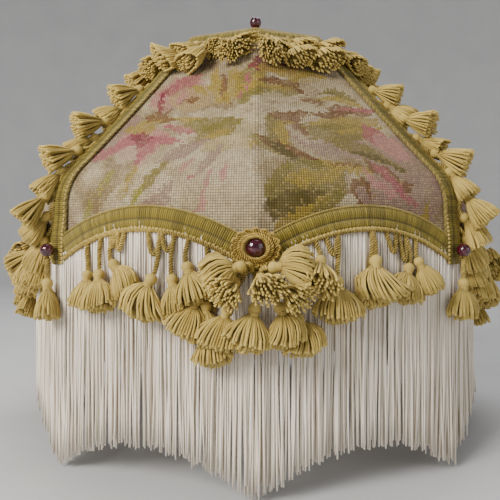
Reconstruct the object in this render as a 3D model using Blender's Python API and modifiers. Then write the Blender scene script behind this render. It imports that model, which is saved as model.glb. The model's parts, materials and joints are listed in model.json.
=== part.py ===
"""Fringed table-lamp shade: a wire frame with a spider fitting, tapestry covers, lining, gimp, tassel trims,
a cut fringe, glass beads and jewels. Metres, +Z up, origin on the axis at the underside of the spider's washer.

Everything is laid out from the hem: z = 0 is the height of the hem wire's low points. An empty, shade_datum, then
carries the whole shade down so that the washer's underside is at the origin. Azimuth 0 faces -Y and grows
towards +X. Rib n stands at azimuth n * BAY_ANGLE, and bay n lies between ribs n and n + 1."""

import math

import bmesh
import bpy
from mathutils import Matrix, Vector

# Overall sizes
BAYS = 8
RIM_RADIUS = 0.198  # axis to a low point of the hem wire
TOP_RADIUS = 0.0725  # axis to a corner of the top ring
SHADE_HEIGHT = 0.188  # hem wire's low points to the top ring
SKIRT_HEIGHT = 0.039  # upright part of a rib above the hem
SHOULDER_RADIUS = 0.035  # bend between the upright part and the slope
SLOPE_RADIUS = 3.0  # the slope's own gentle hollow, up to the top ring
ARCH_HEIGHT = 0.0255  # rise of the hem wire between two ribs
HEM_BOW = 0.009  # outward bow of the hem wire between two ribs
BOW_FADE = 0.100  # height above the hem wire at which the cover lies flat between the ribs
FRINGE_LENGTH = 0.144  # cut strands, from the hem's lower edge

# Wires and fitting
WIRE_RADIUS = 0.0015
GAP = 0.0003  # clearance between pieces that touch on the real shade
RIB_FOOT = 0.0036  # a rib ends this far above the hem wire's centre line, where the wire's V closes on it
WASHER_RADIUS = 0.013
WASHER_BORE_RADIUS = 0.0055
WASHER_THICKNESS = 0.002
SPIDER_DROP = 0.012  # top ring's centre line down to the washer's underside
SPIDER_ARMS = 4
ARM_KNEE_RADIUS = 0.045

# Cloth and trims
COVER_THICKNESS = 0.0008
LINING_THICKNESS = 0.0005
GIMP_WIDTH = 0.014
TOP_GIMP_WIDTH = 0.012
GIMP_THICKNESS = 0.002
FRINGE_THICKNESS = 0.001
HEADER_HEIGHT = 0.009  # fringe header sewn over the cover's lower edge
HEM_TURN = 0.003  # cover and gimp reach this far below the hem wire
TOP_TURN = 0.002  # cover and gimp stop this far below the top ring

# Tassels
CORD_RADIUS = 0.0012
HEAD_RADIUS = 0.0036
HEAD_LENGTH = 0.007
TASSEL_LENGTH = 0.021
TASSEL_RADIUS = 0.014
TASSEL_FLATNESS = 0.52  # thickness over width, where a tassel lies against the cloth
TASSEL_SIDES = 5
BAY_STEPS = 6  # straight lengths that stand in for a bay's curve

# Beads and jewels
BEAD_RADIUS = 0.005
BEAD_HEIGHT = 0.0075  # seam bead's centre above the hem wire's low point
JEWEL_HEIGHT = 0.0105
JEWEL_WIDTH = 0.027
JEWEL_TALLNESS = 0.75  # height over width
JEWEL_THICKNESS = 0.005
STONE_RADIUS = 0.006
STONE_RECESS = 0.0025

# Worked out
BAY_ANGLE = 2 * math.pi / BAYS
CLOTH_TOP = SHADE_HEIGHT - TOP_TURN
SEAT_HEIGHT = SHADE_HEIGHT - SPIDER_DROP
COVER_INSIDE = WIRE_RADIUS + GAP
COVER_OUTSIDE = COVER_INSIDE + COVER_THICKNESS
TRIM_INSIDE = COVER_OUTSIDE + 1.5 * GAP
HEM_GIMP_INSIDE = TRIM_INSIDE + FRINGE_THICKNESS + 1.5 * GAP
SEAM_EDGE = GIMP_WIDTH / 2
CORD_BESIDE = GAP + CORD_RADIUS  # a gimp's edge to the centre line of the header cord beside it

FACES = {"front": 0, "right": 2, "back": 4, "left": 6}  # name: the middle rib of the face
SEAMS = {"front_right": 1, "back_right": 3, "back_left": 5, "front_left": 7}


# Frame geometry

def rib_bends():
    """Angle at which a rib's shoulder runs on into its slope, and the two centres as (radius, height).

    The slope's arc touches the shoulder's from outside and passes through the top ring's corner."""
    a, b = SHOULDER_RADIUS, SLOPE_RADIUS
    centre = Vector((RIM_RADIUS - a, SKIRT_HEIGHT))
    to_top = Vector((TOP_RADIUS, SHADE_HEIGHT)) - centre
    share = (to_top.length_squared + a * a + 2 * a * b) / (2 * (a + b) * to_top.length)
    turn = math.atan2(to_top.y, to_top.x) - math.acos(share)
    return turn, centre, centre + Vector((math.cos(turn), math.sin(turn))) * (a + b)


def rib_radius(z):
    """Distance of a rib's centre line from the axis at height z."""
    turn, centre, hollow = RIB_BENDS
    if z <= SKIRT_HEIGHT:
        return RIM_RADIUS
    if z <= SKIRT_HEIGHT + SHOULDER_RADIUS * math.sin(turn):
        return centre.x + math.sqrt(SHOULDER_RADIUS**2 - (z - centre.y) ** 2)
    return hollow.x - math.sqrt(SLOPE_RADIUS**2 - (z - hollow.y) ** 2)


def down_slope(z, length):
    """Height reached from height z after a length measured down a rib."""
    lean = (rib_radius(z - 1e-4) - rib_radius(z)) / 1e-4
    return z - length / math.hypot(1, lean)


def levels():
    """Heights that a rib and the cloth beside it share, from the start of the bend to near the top ring."""
    turn = RIB_BENDS[0]
    bend = [SKIRT_HEIGHT + SHOULDER_RADIUS * math.sin(turn * i / 4) for i in range(5)]
    step = (CLOTH_TOP - bend[-1]) / 4
    return bend + [bend[-1] + step * (i + 1) for i in range(4)]


def rib_point(rib, z):
    angle = rib * BAY_ANGLE
    r = rib_radius(z)
    return Vector((r * math.sin(angle), -r * math.cos(angle), z))


def bay_width(z):
    return 2 * rib_radius(z) * math.sin(BAY_ANGLE / 2)


def arch(s):
    """Height of the hem wire at share s of the way from one rib to the next."""
    return ARCH_HEIGHT * 4 * s * (1 - s)


def over_arch(z, s):
    """Height z of a rib carried across a bay, so that the rows of a cloth rise over the arch and level out."""
    return z + arch(s) * (CLOTH_TOP - z) / (CLOTH_TOP + HEM_TURN)


def arch_stretch(s):
    """How much taller a band of even width stands where the hem wire slopes."""
    slope = ARCH_HEIGHT * 4 * (1 - 2 * s) / bay_width(0)
    return math.sqrt(1 + slope * slope)


def bare_point(bay, s, z):
    """A point of the surface through the wires' centre lines."""
    middle = (bay + 0.5) * BAY_ANGLE
    above_hem = max(z - arch(s), 0.0)
    bow = HEM_BOW * max(0.0, 1 - above_hem / BOW_FADE) ** 2 * 4 * s * (1 - s)
    across = rib_point(bay, z).lerp(rib_point(bay + 1, z), s)
    return across + Vector((math.sin(middle), -math.cos(middle), 0)) * bow


def bay_normal(bay, s, z):
    step = 1e-4
    inward = max(step, min(1 - step, s))
    along = bare_point(bay, inward + step, z) - bare_point(bay, inward - step, z)
    up = bare_point(bay, inward, z + step) - bare_point(bay, inward, z - step)
    return along.cross(up).normalized()


def surface_normal(bay, s, z):
    """Outward normal, lengthened at a rib so that an offset keeps its distance from both bays."""
    own = bay_normal(bay, s, z)
    if 1e-6 < s < 1 - 1e-6:
        return own
    other = bay_normal(bay - 1, 1, z) if s < 0.5 else bay_normal(bay + 1, 0, z)
    shared = (own + other).normalized()
    return shared / shared.dot(own)


def surface_point(bay, s, z, out):
    return bare_point(bay, s, z) + surface_normal(bay, s, z) * out


def beside_rib(rib, w, z, out):
    """A surface point at w metres from a rib, measured level: positive w lies in the bay after the rib."""
    s = w / bay_width(z)
    return surface_point(rib, s, z, out) if w >= 0 else surface_point(rib - 1, 1 + s, z, out)


def face_span(middle_rib, t, z, margin):
    """Bay and share for t from -1 to 1 across a face of two bays, stopping margin metres short of its seams."""
    reach = 1 - margin / bay_width(z)
    s = abs(t) * reach
    return (middle_rib, s) if t >= 0 else (middle_rib - 1, 1 - s)


RIB_BENDS = rib_bends()


# Blender helpers

def clear_scene():
    for obj in list(bpy.data.objects):
        bpy.data.objects.remove(obj)


def new_collection(name):
    made = bpy.data.collections.new(name)
    bpy.context.scene.collection.children.link(made)
    return made


def finish_material(name, colour, roughness, metallic=0.0):
    made = bpy.data.materials.new(name)
    made.use_nodes = True
    shader = made.node_tree.nodes["Principled BSDF"]
    shader.inputs["Base Color"].default_value = (*colour, 1)
    shader.inputs["Roughness"].default_value = roughness
    shader.inputs["Metallic"].default_value = metallic
    return made


def place(name, data, material, location=(0, 0, 0), turn=0.0):
    """Puts a mesh or curve in the shade as one named piece, turned about the axis."""
    obj = bpy.data.objects.new(name, data)
    if not data.materials:
        data.materials.append(material)
    PARTS.objects.link(obj)
    obj.parent = DATUM
    obj.location = location
    obj.rotation_euler.z = turn
    return obj


def wire(name, points, radius, closed=False, resolution=1):
    """Curve data of a round wire or cord through points, with 4 + 2 * resolution sides."""
    data = bpy.data.curves.new(name, "CURVE")
    data.dimensions = "3D"
    data.bevel_depth = radius
    data.bevel_resolution = resolution
    data.use_fill_caps = not closed
    spline = data.splines.new("POLY")
    spline.points.add(len(points) - 1)
    for spline_point, p in zip(spline.points, points):
        spline_point.co = (*p, 1)
    spline.use_cyclic_u = closed
    return data


def sheet_mesh(name, columns, rows, point, closed=False):
    """An open grid whose vertex (i, j) stands at point(i / columns, j / rows). A closed one joins its ends."""
    bm = bmesh.new()
    bmesh.ops.create_grid(bm, x_segments=columns, y_segments=rows, size=0.5)
    for v in bm.verts:
        v.co = point(v.co.x + 0.5, v.co.y + 0.5)
    if closed:
        bmesh.ops.remove_doubles(bm, verts=bm.verts, dist=1e-5)
    bmesh.ops.recalc_face_normals(bm, faces=bm.faces)
    face = max(bm.faces, key=lambda f: f.calc_area())
    middle = face.calc_center_median()
    if face.normal.dot(Vector((middle.x, middle.y, 0))) < 0:
        bmesh.ops.reverse_faces(bm, faces=bm.faces)
    mesh = bpy.data.meshes.new(name)
    bm.to_mesh(mesh)
    bm.free()
    return mesh


def thicken(obj, thickness):
    """Gives a sheet its thickness, grown outwards from the surface it was drawn on."""
    shell = obj.modifiers.new("thickness", "SOLIDIFY")
    shell.thickness = thickness
    shell.offset = 1
    shell.use_even_offset = True
    return obj


def turned_mesh(name, profile, sides, merge=1e-5):
    """Mesh of a solid turned about Z, from a profile of (radius, height) that runs from top to bottom."""
    mesh = bpy.data.meshes.new(name)
    mesh.from_pydata([(r, 0, z) for r, z in profile], [(i, i + 1) for i in range(len(profile) - 1)], [])
    obj = bpy.data.objects.new(name, mesh)
    HELPERS.objects.link(obj)
    screw = obj.modifiers.new("turn", "SCREW")
    screw.steps = screw.render_steps = sides
    screw.use_merge_vertices = True
    screw.merge_threshold = merge
    made = evaluated_mesh(obj, name)
    bpy.data.objects.remove(obj)
    return made


def evaluated_mesh(obj, name):
    bpy.context.view_layer.update()
    graph = bpy.context.evaluated_depsgraph_get()
    mesh = bpy.data.meshes.new_from_object(obj.evaluated_get(graph))
    mesh.name = name
    mesh.transform(obj.matrix_world)
    bm = bmesh.new()
    bm.from_mesh(mesh)
    bmesh.ops.remove_doubles(bm, verts=bm.verts, dist=1e-6)
    bm.to_mesh(mesh)
    bm.free()
    return mesh


def joined_mesh(name, solids):
    """One closed mesh from overlapping solids, each a mesh or a curve with its matrix."""
    helpers = []
    for data, matrix in solids:
        obj = bpy.data.objects.new(name, data)
        HELPERS.objects.link(obj)
        if isinstance(data, bpy.types.Curve):
            bpy.context.view_layer.update()
            obj = bpy.data.objects.new(name, evaluated_mesh(obj, name))
            HELPERS.objects.link(obj)
        obj.matrix_world = matrix
        helpers.append(obj)
    operands = bpy.data.collections.new(name)
    for obj in helpers[1:]:
        operands.objects.link(obj)
    union = helpers[0].modifiers.new("union", "BOOLEAN")
    union.operation = "UNION"
    union.operand_type = "COLLECTION"
    union.collection = operands
    union.solver = "EXACT"
    made = evaluated_mesh(helpers[0], name)
    for obj in list(HELPERS.objects):
        bpy.data.objects.remove(obj)
    bpy.data.collections.remove(operands)
    return made


def smooth(obj, degrees=40):
    if obj.type == "MESH":
        obj.data.shade_smooth()
        obj.data.set_sharp_from_angle(angle=math.radians(degrees))
    return obj


# Wire frame

def hem_wire():
    points = [
        bare_point(bay, i / BAY_STEPS, arch(i / BAY_STEPS)) for bay in range(BAYS) for i in range(BAY_STEPS)
    ]
    return place("hem_ring", wire("hem_ring", points, WIRE_RADIUS, closed=True), WIRE)


def top_wire():
    points = [rib_point(rib, SHADE_HEIGHT) for rib in range(BAYS)]
    return place("top_ring", wire("top_ring", points, WIRE_RADIUS, closed=True, resolution=2), WIRE)


def ribs():
    head = down_slope(SHADE_HEIGHT, WIRE_RADIUS + GAP)
    heights = [RIB_FOOT, *levels()[:-1], head]
    data = wire("rib", [rib_point(0, z) for z in heights], WIRE_RADIUS)
    for rib in range(BAYS):
        place(f"rib_{rib + 1}", data, WIRE, turn=rib * BAY_ANGLE)


def spider():
    """Washer with its arms brazed on top of it, each reaching out and up to a corner of the top ring."""
    washer = turned_mesh(
        "washer",
        [
            (WASHER_BORE_RADIUS, WASHER_THICKNESS),
            (WASHER_RADIUS, WASHER_THICKNESS),
            (WASHER_RADIUS, 0),
            (WASHER_BORE_RADIUS, 0),
            (WASHER_BORE_RADIUS, WASHER_THICKNESS),
        ],
        24,
    )
    arm_level = WIRE_RADIUS + 0.0002
    arm_start = (WASHER_BORE_RADIUS + WASHER_RADIUS) / 2
    arm_end = TOP_RADIUS - WIRE_RADIUS * (1 + math.tan(BAY_ANGLE / 2)) - GAP
    route = [
        (arm_start, arm_level),
        (ARM_KNEE_RADIUS, arm_level),
        (ARM_KNEE_RADIUS + 0.008, arm_level + 0.0012),
        (arm_end - 0.009, SPIDER_DROP - 0.0006),
        (arm_end, SPIDER_DROP),
    ]
    arm = wire("arm", [(0, -r, z) for r, z in route], WIRE_RADIUS)
    solids = [(washer, Matrix())]
    for i in range(SPIDER_ARMS):
        solids.append((arm, Matrix.Rotation(i * 2 * math.pi / SPIDER_ARMS, 4, "Z")))
    place("spider_fitter", joined_mesh("spider_fitter", solids), WIRE, location=(0, 0, SEAT_HEIGHT))


# Cloth

def covers():
    """Four tapestry panels, each across two bays and stretched over the rib between them."""

    heights = [-HEM_TURN, 0.0, SKIRT_HEIGHT / 2, *levels()]
    rows = len(heights) - 1

    def point(u, v):
        t = 2 * u - 1
        z = over_arch(heights[round(rows * v)], abs(t))
        bay, s = face_span(0, t, z, GAP)
        return surface_point(bay, s, z, COVER_INSIDE)

    data = sheet_mesh("cover", 2 * BAY_STEPS, rows, point)
    for face, rib in FACES.items():
        thicken(place(f"tapestry_{face}", data, TAPESTRY, turn=rib * BAY_ANGLE), COVER_THICKNESS)


def lining():
    """One sewn lining that hangs inside the wires."""
    heights = [0.0, *levels()[::2]]
    columns, rows = 4 * BAYS, len(heights) - 1

    def point(u, v):
        bay, s = divmod(round((u * columns) % columns * BAYS / columns, 6), 1)
        z = over_arch(heights[round(rows * v)], s)
        return surface_point(int(bay), s, z, -COVER_INSIDE - GAP - LINING_THICKNESS)

    data = sheet_mesh("lining", columns, rows, point, closed=True)
    thicken(place("lining", data, LINING), LINING_THICKNESS)


def fringe():
    """A curtain of cut fringe on each face: its header lies on the cover, and its skirt hangs plumb from it."""
    rows = [HEADER_HEIGHT, 0.0, -FRINGE_LENGTH / 2, -FRINGE_LENGTH]

    def point(u, v):
        t = 2 * u - 1
        hang = arch(abs(t)) - HEM_TURN
        drop = rows[round(3 - 3 * v)]
        z = hang + max(drop, 0.0)
        bay, s = face_span(0, t, z, GAP)
        p = surface_point(bay, s, z, TRIM_INSIDE)
        p.z += min(drop, 0.0)
        return p

    data = sheet_mesh("fringe", 2 * BAY_STEPS, 3, point)
    for face, rib in FACES.items():
        thicken(place(f"fringe_{face}", data, FRINGE, turn=rib * BAY_ANGLE), FRINGE_THICKNESS)


# Gimp braids

def hem_gimps():
    """A braid along the two arches of each face, from one seam braid to the next."""

    def point(u, v):
        t = 2 * u - 1
        s = abs(t)
        z = arch(s) - HEM_TURN + GIMP_WIDTH * arch_stretch(s) * v
        bay, share = face_span(0, t, z, SEAM_EDGE + GAP)
        return surface_point(bay, share, z, HEM_GIMP_INSIDE)

    data = sheet_mesh("hem_gimp", 2 * BAY_STEPS, 2, point)
    for face, rib in FACES.items():
        thicken(place(f"gimp_hem_{face}", data, GIMP, turn=rib * BAY_ANGLE), GIMP_THICKNESS)


def top_braid_foot():
    return down_slope(CLOTH_TOP, TOP_GIMP_WIDTH)


def top_cord_height():
    return down_slope(top_braid_foot(), CORD_BESIDE)


def seam_gimps():
    """A braid over each seam, from the top tassels' cord down to the low point, where it rides over the fringe."""
    head = down_slope(top_cord_height(), CORD_BESIDE + GAP)
    over_fringe = [-HEM_TURN, SKIRT_HEIGHT / 2]
    heights = [*over_fringe, *(z for z in levels() if z < head - 0.002), head]
    rows = len(heights) - 1

    def point(u, v):
        z = heights[round(rows * v)]
        out = HEM_GIMP_INSIDE if z in over_fringe else TRIM_INSIDE
        return beside_rib(0, (2 * u - 1) * SEAM_EDGE, z, out)

    data = sheet_mesh("seam_gimp", 2, rows, point)
    for seam, rib in SEAMS.items():
        thicken(place(f"gimp_seam_{seam}", data, GIMP, turn=rib * BAY_ANGLE), GIMP_THICKNESS)


def top_gimp():
    columns = 2 * BAYS

    def point(u, v):
        across = (u * columns) % columns / 2
        bay, s = divmod(round(across, 6), 1)
        foot = top_braid_foot()
        z = foot + (CLOTH_TOP - foot) * v
        return surface_point(int(bay), s, z, TRIM_INSIDE)

    data = sheet_mesh("top_gimp", columns, 1, point, closed=True)
    thicken(place("gimp_top", data, GIMP), GIMP_THICKNESS)


# Tassels

def tassel_mesh(name, cord_length, size=1.0, flatness=TASSEL_FLATNESS, round_top=False):
    """A tassel hanging down -Z from its cord's upper end at the origin, and flattened along Y below its head."""
    head = cord_length + HEAD_LENGTH * size
    foot = head + TASSEL_LENGTH * size
    wide = TASSEL_RADIUS * size
    top = [(0, CORD_RADIUS), (CORD_RADIUS * 0.8, CORD_RADIUS * 0.6)] if round_top else [(0, 0)]
    profile = [
        *top,
        (CORD_RADIUS, 0),
        (CORD_RADIUS, -cord_length),
        (HEAD_RADIUS * size, -cord_length - HEAD_LENGTH * size * 0.45),
        (HEAD_RADIUS * size * 0.75, -head),
        (wide, -foot + TASSEL_LENGTH * size * 0.3),
        (wide * 0.95, -foot),
        (0, -foot),
    ]
    mesh = turned_mesh(name, profile, TASSEL_SIDES + 3 * round_top)
    for v in mesh.vertices:
        if v.co.z < -head - 1e-5:
            v.co.y *= flatness
    return mesh


def hanging(bay, s, z, out, lean, sway=0.0):
    """Matrix for a tassel tied at a surface point: it lies down the slope, leans out by lean and sways sideways."""
    step = 1e-4
    down = (bare_point(bay, s, z - step) - bare_point(bay, s, z + step)).normalized()
    normal = bay_normal(bay, s, z)
    axis = down * math.cos(lean) + normal * math.sin(lean)
    axis = Matrix.Rotation(sway, 3, normal) @ axis
    across = axis.cross(normal).normalized()
    forward = across.cross(axis).normalized()
    turn = Matrix((across, forward, -axis)).transposed().to_4x4()
    if turn.determinant() < 0:
        turn = Matrix((-across, forward, -axis)).transposed().to_4x4()
    return Matrix.Translation(surface_point(bay, s, z, out)) @ turn


def hem_tassels():
    """Per face: a twisted header cord under the braid, three tassels to a bay and the bunch below the jewel."""
    cord_out = TRIM_INSIDE + FRINGE_THICKNESS + GAP + CORD_RADIUS

    def spot(t):
        """Bay, share and height of the header cord at t from -1 to 1 across the face."""
        s = abs(t)
        z = arch(s) - HEM_TURN - CORD_BESIDE * arch_stretch(s)
        return (*face_span(0, t, z, SEAM_EDGE + GAP), z)

    route = [surface_point(*spot(i / BAY_STEPS), cord_out) for i in range(-BAY_STEPS, BAY_STEPS + 1)]
    solids = [(wire("hem_cord", route, CORD_RADIUS, resolution=0), Matrix())]
    hung = (  # share of the bay from the middle rib, cord length, lean and sway in degrees
        (0.07, 0.004, 30, 34),
        (0.22, 0.010, 14, 8),
        (0.10, 0.024, 20, 10),
        (0.42, 0.010, 13, 0),
        (0.58, 0.016, 13, 0),
        (0.76, 0.010, 13, 0),
    )
    for t, cord_length, lean, sway in hung:
        for side in (-1, 1):
            matrix = hanging(*spot(side * t), cord_out, math.radians(lean), side * math.radians(sway))
            solids.append((tassel_mesh("tassel", cord_length), matrix))
    data = joined_mesh("hem_tassels", solids)
    for face, rib in FACES.items():
        place(f"tassels_hem_{face}", data, TASSEL, turn=rib * BAY_ANGLE)


def seam_tassels():
    """A cord beside each seam braid, on the shade's right and left faces, with its tassels down the slope."""
    cord_out = TRIM_INSIDE + CORD_RADIUS + GAP
    beside = SEAM_EDGE + CORD_BESIDE
    foot, head = 0.026, 0.132
    steps = 9
    heights = [foot + (head - foot) * i / steps for i in range(steps + 1)]
    route = [beside_rib(0, beside, z, cord_out) for z in heights]
    solids = [(wire("seam_cord", route, CORD_RADIUS, resolution=0), Matrix())]
    for i, z in enumerate((0.129, 0.112, 0.095, 0.077, 0.058, 0.040)):
        s = beside / bay_width(z)
        matrix = hanging(0, s, z, cord_out, math.radians(22), math.radians(6 + 8 * (i % 2)))
        solids.append((tassel_mesh("tassel", 0.006 + 0.004 * (i % 2)), matrix))
    s = beside / bay_width(foot)
    low = hanging(0, s, foot + 0.001, cord_out, math.radians(33), math.radians(33))
    solids.append((tassel_mesh("tassel", 0.006, size=0.9), low))
    right = joined_mesh("seam_tassels", solids)
    left = right.copy()
    left.transform(Matrix.Scale(-1, 4, (1, 0, 0)))
    left.flip_normals()
    for seam, rib in SEAMS.items():
        data = right if seam in ("front_right", "back_left") else left
        place(f"tassels_seam_{seam}", data, TASSEL, turn=rib * BAY_ANGLE)


def top_tassels():
    """The cord under the top braid with its ring of tassels lying down the slope."""
    cord_out = TRIM_INSIDE + CORD_RADIUS
    z = top_cord_height()
    per_bay = 3
    route = [surface_point(bay, i / per_bay, z, cord_out) for bay in range(BAYS) for i in range(per_bay)]
    solids = [(wire("top_cord", route, CORD_RADIUS, closed=True, resolution=0), Matrix())]
    for bay in range(BAYS):
        for i in range(per_bay):
            s = (i + 0.5) / per_bay
            matrix = hanging(bay, s, z, cord_out, math.radians(24), math.radians(18 * (s - 0.5)))
            solids.append((tassel_mesh("tassel", 0.004 + 0.003 * (i == 1)), matrix))
    place("tassels_top", joined_mesh("top_tassels", solids), TASSEL)


# Beads, jewels and pendants

def beads():
    for seam, rib in SEAMS.items():
        bead(f"bead_seam_{seam}", rib, RIM_RADIUS + bead_out(), BEAD_HEIGHT)
    for face, rib in FACES.items():
        bead(f"bead_top_{face}", rib, TOP_RADIUS, SHADE_HEIGHT + WIRE_RADIUS + GAP + BEAD_RADIUS)


def bead_out():
    """Centre of a seam bead from the hem wire's centre line, where the bead rests on the braid's crease."""
    braid = HEM_GIMP_INSIDE + GIMP_THICKNESS
    return braid * surface_normal(0, 0, 0).length + GAP + BEAD_RADIUS


def bead(name, rib, radius, z):
    mesh = bpy.data.meshes.new(name)
    bm = bmesh.new()
    bmesh.ops.create_uvsphere(bm, u_segments=8, v_segments=6, radius=BEAD_RADIUS)
    bm.to_mesh(mesh)
    bm.free()
    angle = rib * BAY_ANGLE
    place(name, mesh, GLASS, location=(radius * math.sin(angle), -radius * math.cos(angle), z), turn=angle)


def jewels():
    """On each middle rib's low point, an oval cord setting with a round stone in its recess."""
    half = JEWEL_WIDTH / 2
    well = STONE_RADIUS + GAP
    setting = turned_mesh(
        "setting",
        [
            (0, JEWEL_THICKNESS - STONE_RECESS),
            (well, JEWEL_THICKNESS - STONE_RECESS),
            (well, JEWEL_THICKNESS),
            (half * 0.75, JEWEL_THICKNESS),
            (half, JEWEL_THICKNESS * 0.5),
            (half * 0.9, 0),
            (0, 0),
        ],
        14,
    )
    for v in setting.vertices:
        if v.co.xy.length > well * 1.05:
            v.co.y *= JEWEL_TALLNESS
    stone = turned_mesh(
        "stone",
        [
            (0, STONE_RADIUS * 0.8),
            (STONE_RADIUS * 0.7, STONE_RADIUS * 0.6),
            (STONE_RADIUS, STONE_RADIUS * 0.1),
            (STONE_RADIUS, 0),
            (0, 0),
        ],
        12,
    )
    upright = Matrix.Rotation(math.pi / 2, 4, "X")
    setting.transform(upright)
    stone.transform(upright)
    back = (HEM_GIMP_INSIDE + GIMP_THICKNESS) * surface_normal(0, 0, 0).length + 2 * GAP
    for face, rib in FACES.items():
        angle = rib * BAY_ANGLE
        outward = Vector((math.sin(angle), -math.cos(angle), 0))
        seat = outward * (RIM_RADIUS + back) + Vector((0, 0, JEWEL_HEIGHT))
        place(f"jewel_setting_{face}", setting, GOLD, location=seat, turn=angle)
        lift = JEWEL_THICKNESS - STONE_RECESS + GAP
        place(f"jewel_stone_{face}", stone, GLASS, location=seat + outward * lift, turn=angle)


def pendants():
    """A long-corded tassel below each seam bead, free to swing out about its cord's upper end."""
    data = tassel_mesh("pendant", 0.014, size=1.05, flatness=0.46, round_top=True)
    r = RIM_RADIUS + bead_out()
    z = BEAD_HEIGHT - BEAD_RADIUS - GAP - CORD_RADIUS
    for seam, rib in SEAMS.items():
        angle = rib * BAY_ANGLE
        pivot = (r * math.sin(angle), -r * math.cos(angle), z)
        place(f"pendant_tassel_{seam}", data, TASSEL, location=pivot, turn=angle)


clear_scene()
PARTS = new_collection("lamp_shade")
HELPERS = new_collection("helpers")
DATUM = bpy.data.objects.new("shade_datum", None)
DATUM.location.z = -SEAT_HEIGHT
PARTS.objects.link(DATUM)
WIRE = finish_material("bound_wire", (0.62, 0.53, 0.36), 0.6)
TAPESTRY = finish_material("tapestry", (0.60, 0.53, 0.36), 0.95)
LINING = finish_material("lining", (0.80, 0.74, 0.62), 0.8)
GIMP = finish_material("gimp_braid", (0.44, 0.38, 0.12), 0.75)
TASSEL = finish_material("tassel_yarn", (0.68, 0.55, 0.27), 0.8)
FRINGE = finish_material("fringe_yarn", (0.86, 0.82, 0.75), 0.6)
GOLD = finish_material("gold_cord", (0.60, 0.45, 0.15), 0.4, 0.6)
GLASS = finish_material("garnet_glass", (0.22, 0.01, 0.06), 0.08)

hem_wire()
top_wire()
ribs()
spider()
covers()
lining()
fringe()
hem_gimps()
seam_gimps()
top_gimp()
hem_tassels()
seam_tassels()
top_tassels()
beads()
jewels()
pendants()
for piece in PARTS.objects:
    smooth(piece)
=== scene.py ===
"""Looks of a fringed, tapestry-covered table-lamp shade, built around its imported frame.

Heights in the functions are measured from the hem wire's low points. Azimuth 0 faces -Y and grows towards +X.
Rib n stands at azimuth n * BAY_ANGLE, and a width w is measured level from a rib, positive in the bay after it."""

import json
import math
import random

import bpy
import numpy as np
from mathutils import Matrix, Vector

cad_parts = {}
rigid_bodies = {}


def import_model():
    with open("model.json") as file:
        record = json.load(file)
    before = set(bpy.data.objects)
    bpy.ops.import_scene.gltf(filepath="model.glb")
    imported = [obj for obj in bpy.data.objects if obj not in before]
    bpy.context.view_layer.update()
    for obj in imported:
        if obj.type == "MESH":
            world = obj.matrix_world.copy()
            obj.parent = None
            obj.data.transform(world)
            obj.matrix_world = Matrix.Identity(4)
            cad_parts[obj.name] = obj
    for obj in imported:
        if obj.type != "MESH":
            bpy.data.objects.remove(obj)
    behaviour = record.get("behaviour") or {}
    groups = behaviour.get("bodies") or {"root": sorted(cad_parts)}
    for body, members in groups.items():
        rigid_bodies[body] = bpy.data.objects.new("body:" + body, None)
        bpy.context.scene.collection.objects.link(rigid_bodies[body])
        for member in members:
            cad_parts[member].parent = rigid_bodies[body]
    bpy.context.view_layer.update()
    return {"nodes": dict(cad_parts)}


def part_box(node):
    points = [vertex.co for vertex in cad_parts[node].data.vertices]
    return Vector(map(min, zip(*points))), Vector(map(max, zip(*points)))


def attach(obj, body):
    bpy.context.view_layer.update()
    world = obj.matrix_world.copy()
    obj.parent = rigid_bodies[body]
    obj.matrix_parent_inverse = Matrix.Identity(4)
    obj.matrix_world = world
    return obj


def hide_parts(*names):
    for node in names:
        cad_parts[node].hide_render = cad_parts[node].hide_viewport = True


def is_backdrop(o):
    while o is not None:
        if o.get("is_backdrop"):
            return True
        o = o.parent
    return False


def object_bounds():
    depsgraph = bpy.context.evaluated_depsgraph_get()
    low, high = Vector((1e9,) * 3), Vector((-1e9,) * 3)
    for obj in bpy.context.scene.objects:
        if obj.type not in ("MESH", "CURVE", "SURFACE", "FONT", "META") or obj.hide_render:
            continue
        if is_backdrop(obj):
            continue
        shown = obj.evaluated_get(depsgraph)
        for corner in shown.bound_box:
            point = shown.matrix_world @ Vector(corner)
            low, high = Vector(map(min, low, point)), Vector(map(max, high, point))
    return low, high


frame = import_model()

bl_info = {
    "name": "Fringed Lamp Shade",
    "version": (1, 0, 0),
    "blender": (4, 5, 0),
    "location": "View3D > Sidebar > Lamp Shade",
    "description": "Tapestry, lining, braids, tassels, fringe, beads and jewels of a fringed table-lamp shade",
    "category": "Add Mesh",
}

# Frame sizes, metres
BAYS = 8
RIM_RADIUS = 0.198
TOP_RADIUS = 0.0725
SHADE_HEIGHT = 0.188
SKIRT_HEIGHT = 0.039
SHOULDER_RADIUS = 0.035
SLOPE_RADIUS = 3.0
ARCH_HEIGHT = 0.0255
HEM_BOW = 0.009
BOW_FADE = 0.100
WIRE_RADIUS = 0.0015
GAP = 0.0003
HEM_TURN = 0.003
GIMP_WIDTH = 0.014
TOP_GIMP_WIDTH = 0.012
FRINGE_LENGTH = 0.144
BEAD_RADIUS = 0.005
STONE_RADIUS = 0.006

BAY_ANGLE = 2 * math.pi / BAYS
SEAT_HEIGHT = -(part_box("hem_ring")[0][2] + WIRE_RADIUS)  # the hem's low points below the washer
CLOTH_TOP = SHADE_HEIGHT - 0.002
COVER_OUT = WIRE_RADIUS + GAP  # wires' centre lines to the cover's back
TRIM_OUT = COVER_OUT + 0.0008 + 1.5 * GAP  # to the back of a trim sewn on the cover
HEM_TRIM_OUT = TRIM_OUT + 0.001 + 1.5 * GAP  # to the back of a trim sewn over the fringe's header

FACES = {"front": 0, "right": 2, "back": 4, "left": 6}
SEAMS = {"front_right": 1, "back_right": 3, "back_left": 5, "front_left": 7}


# Surface of the wires, for arrays of points

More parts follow.
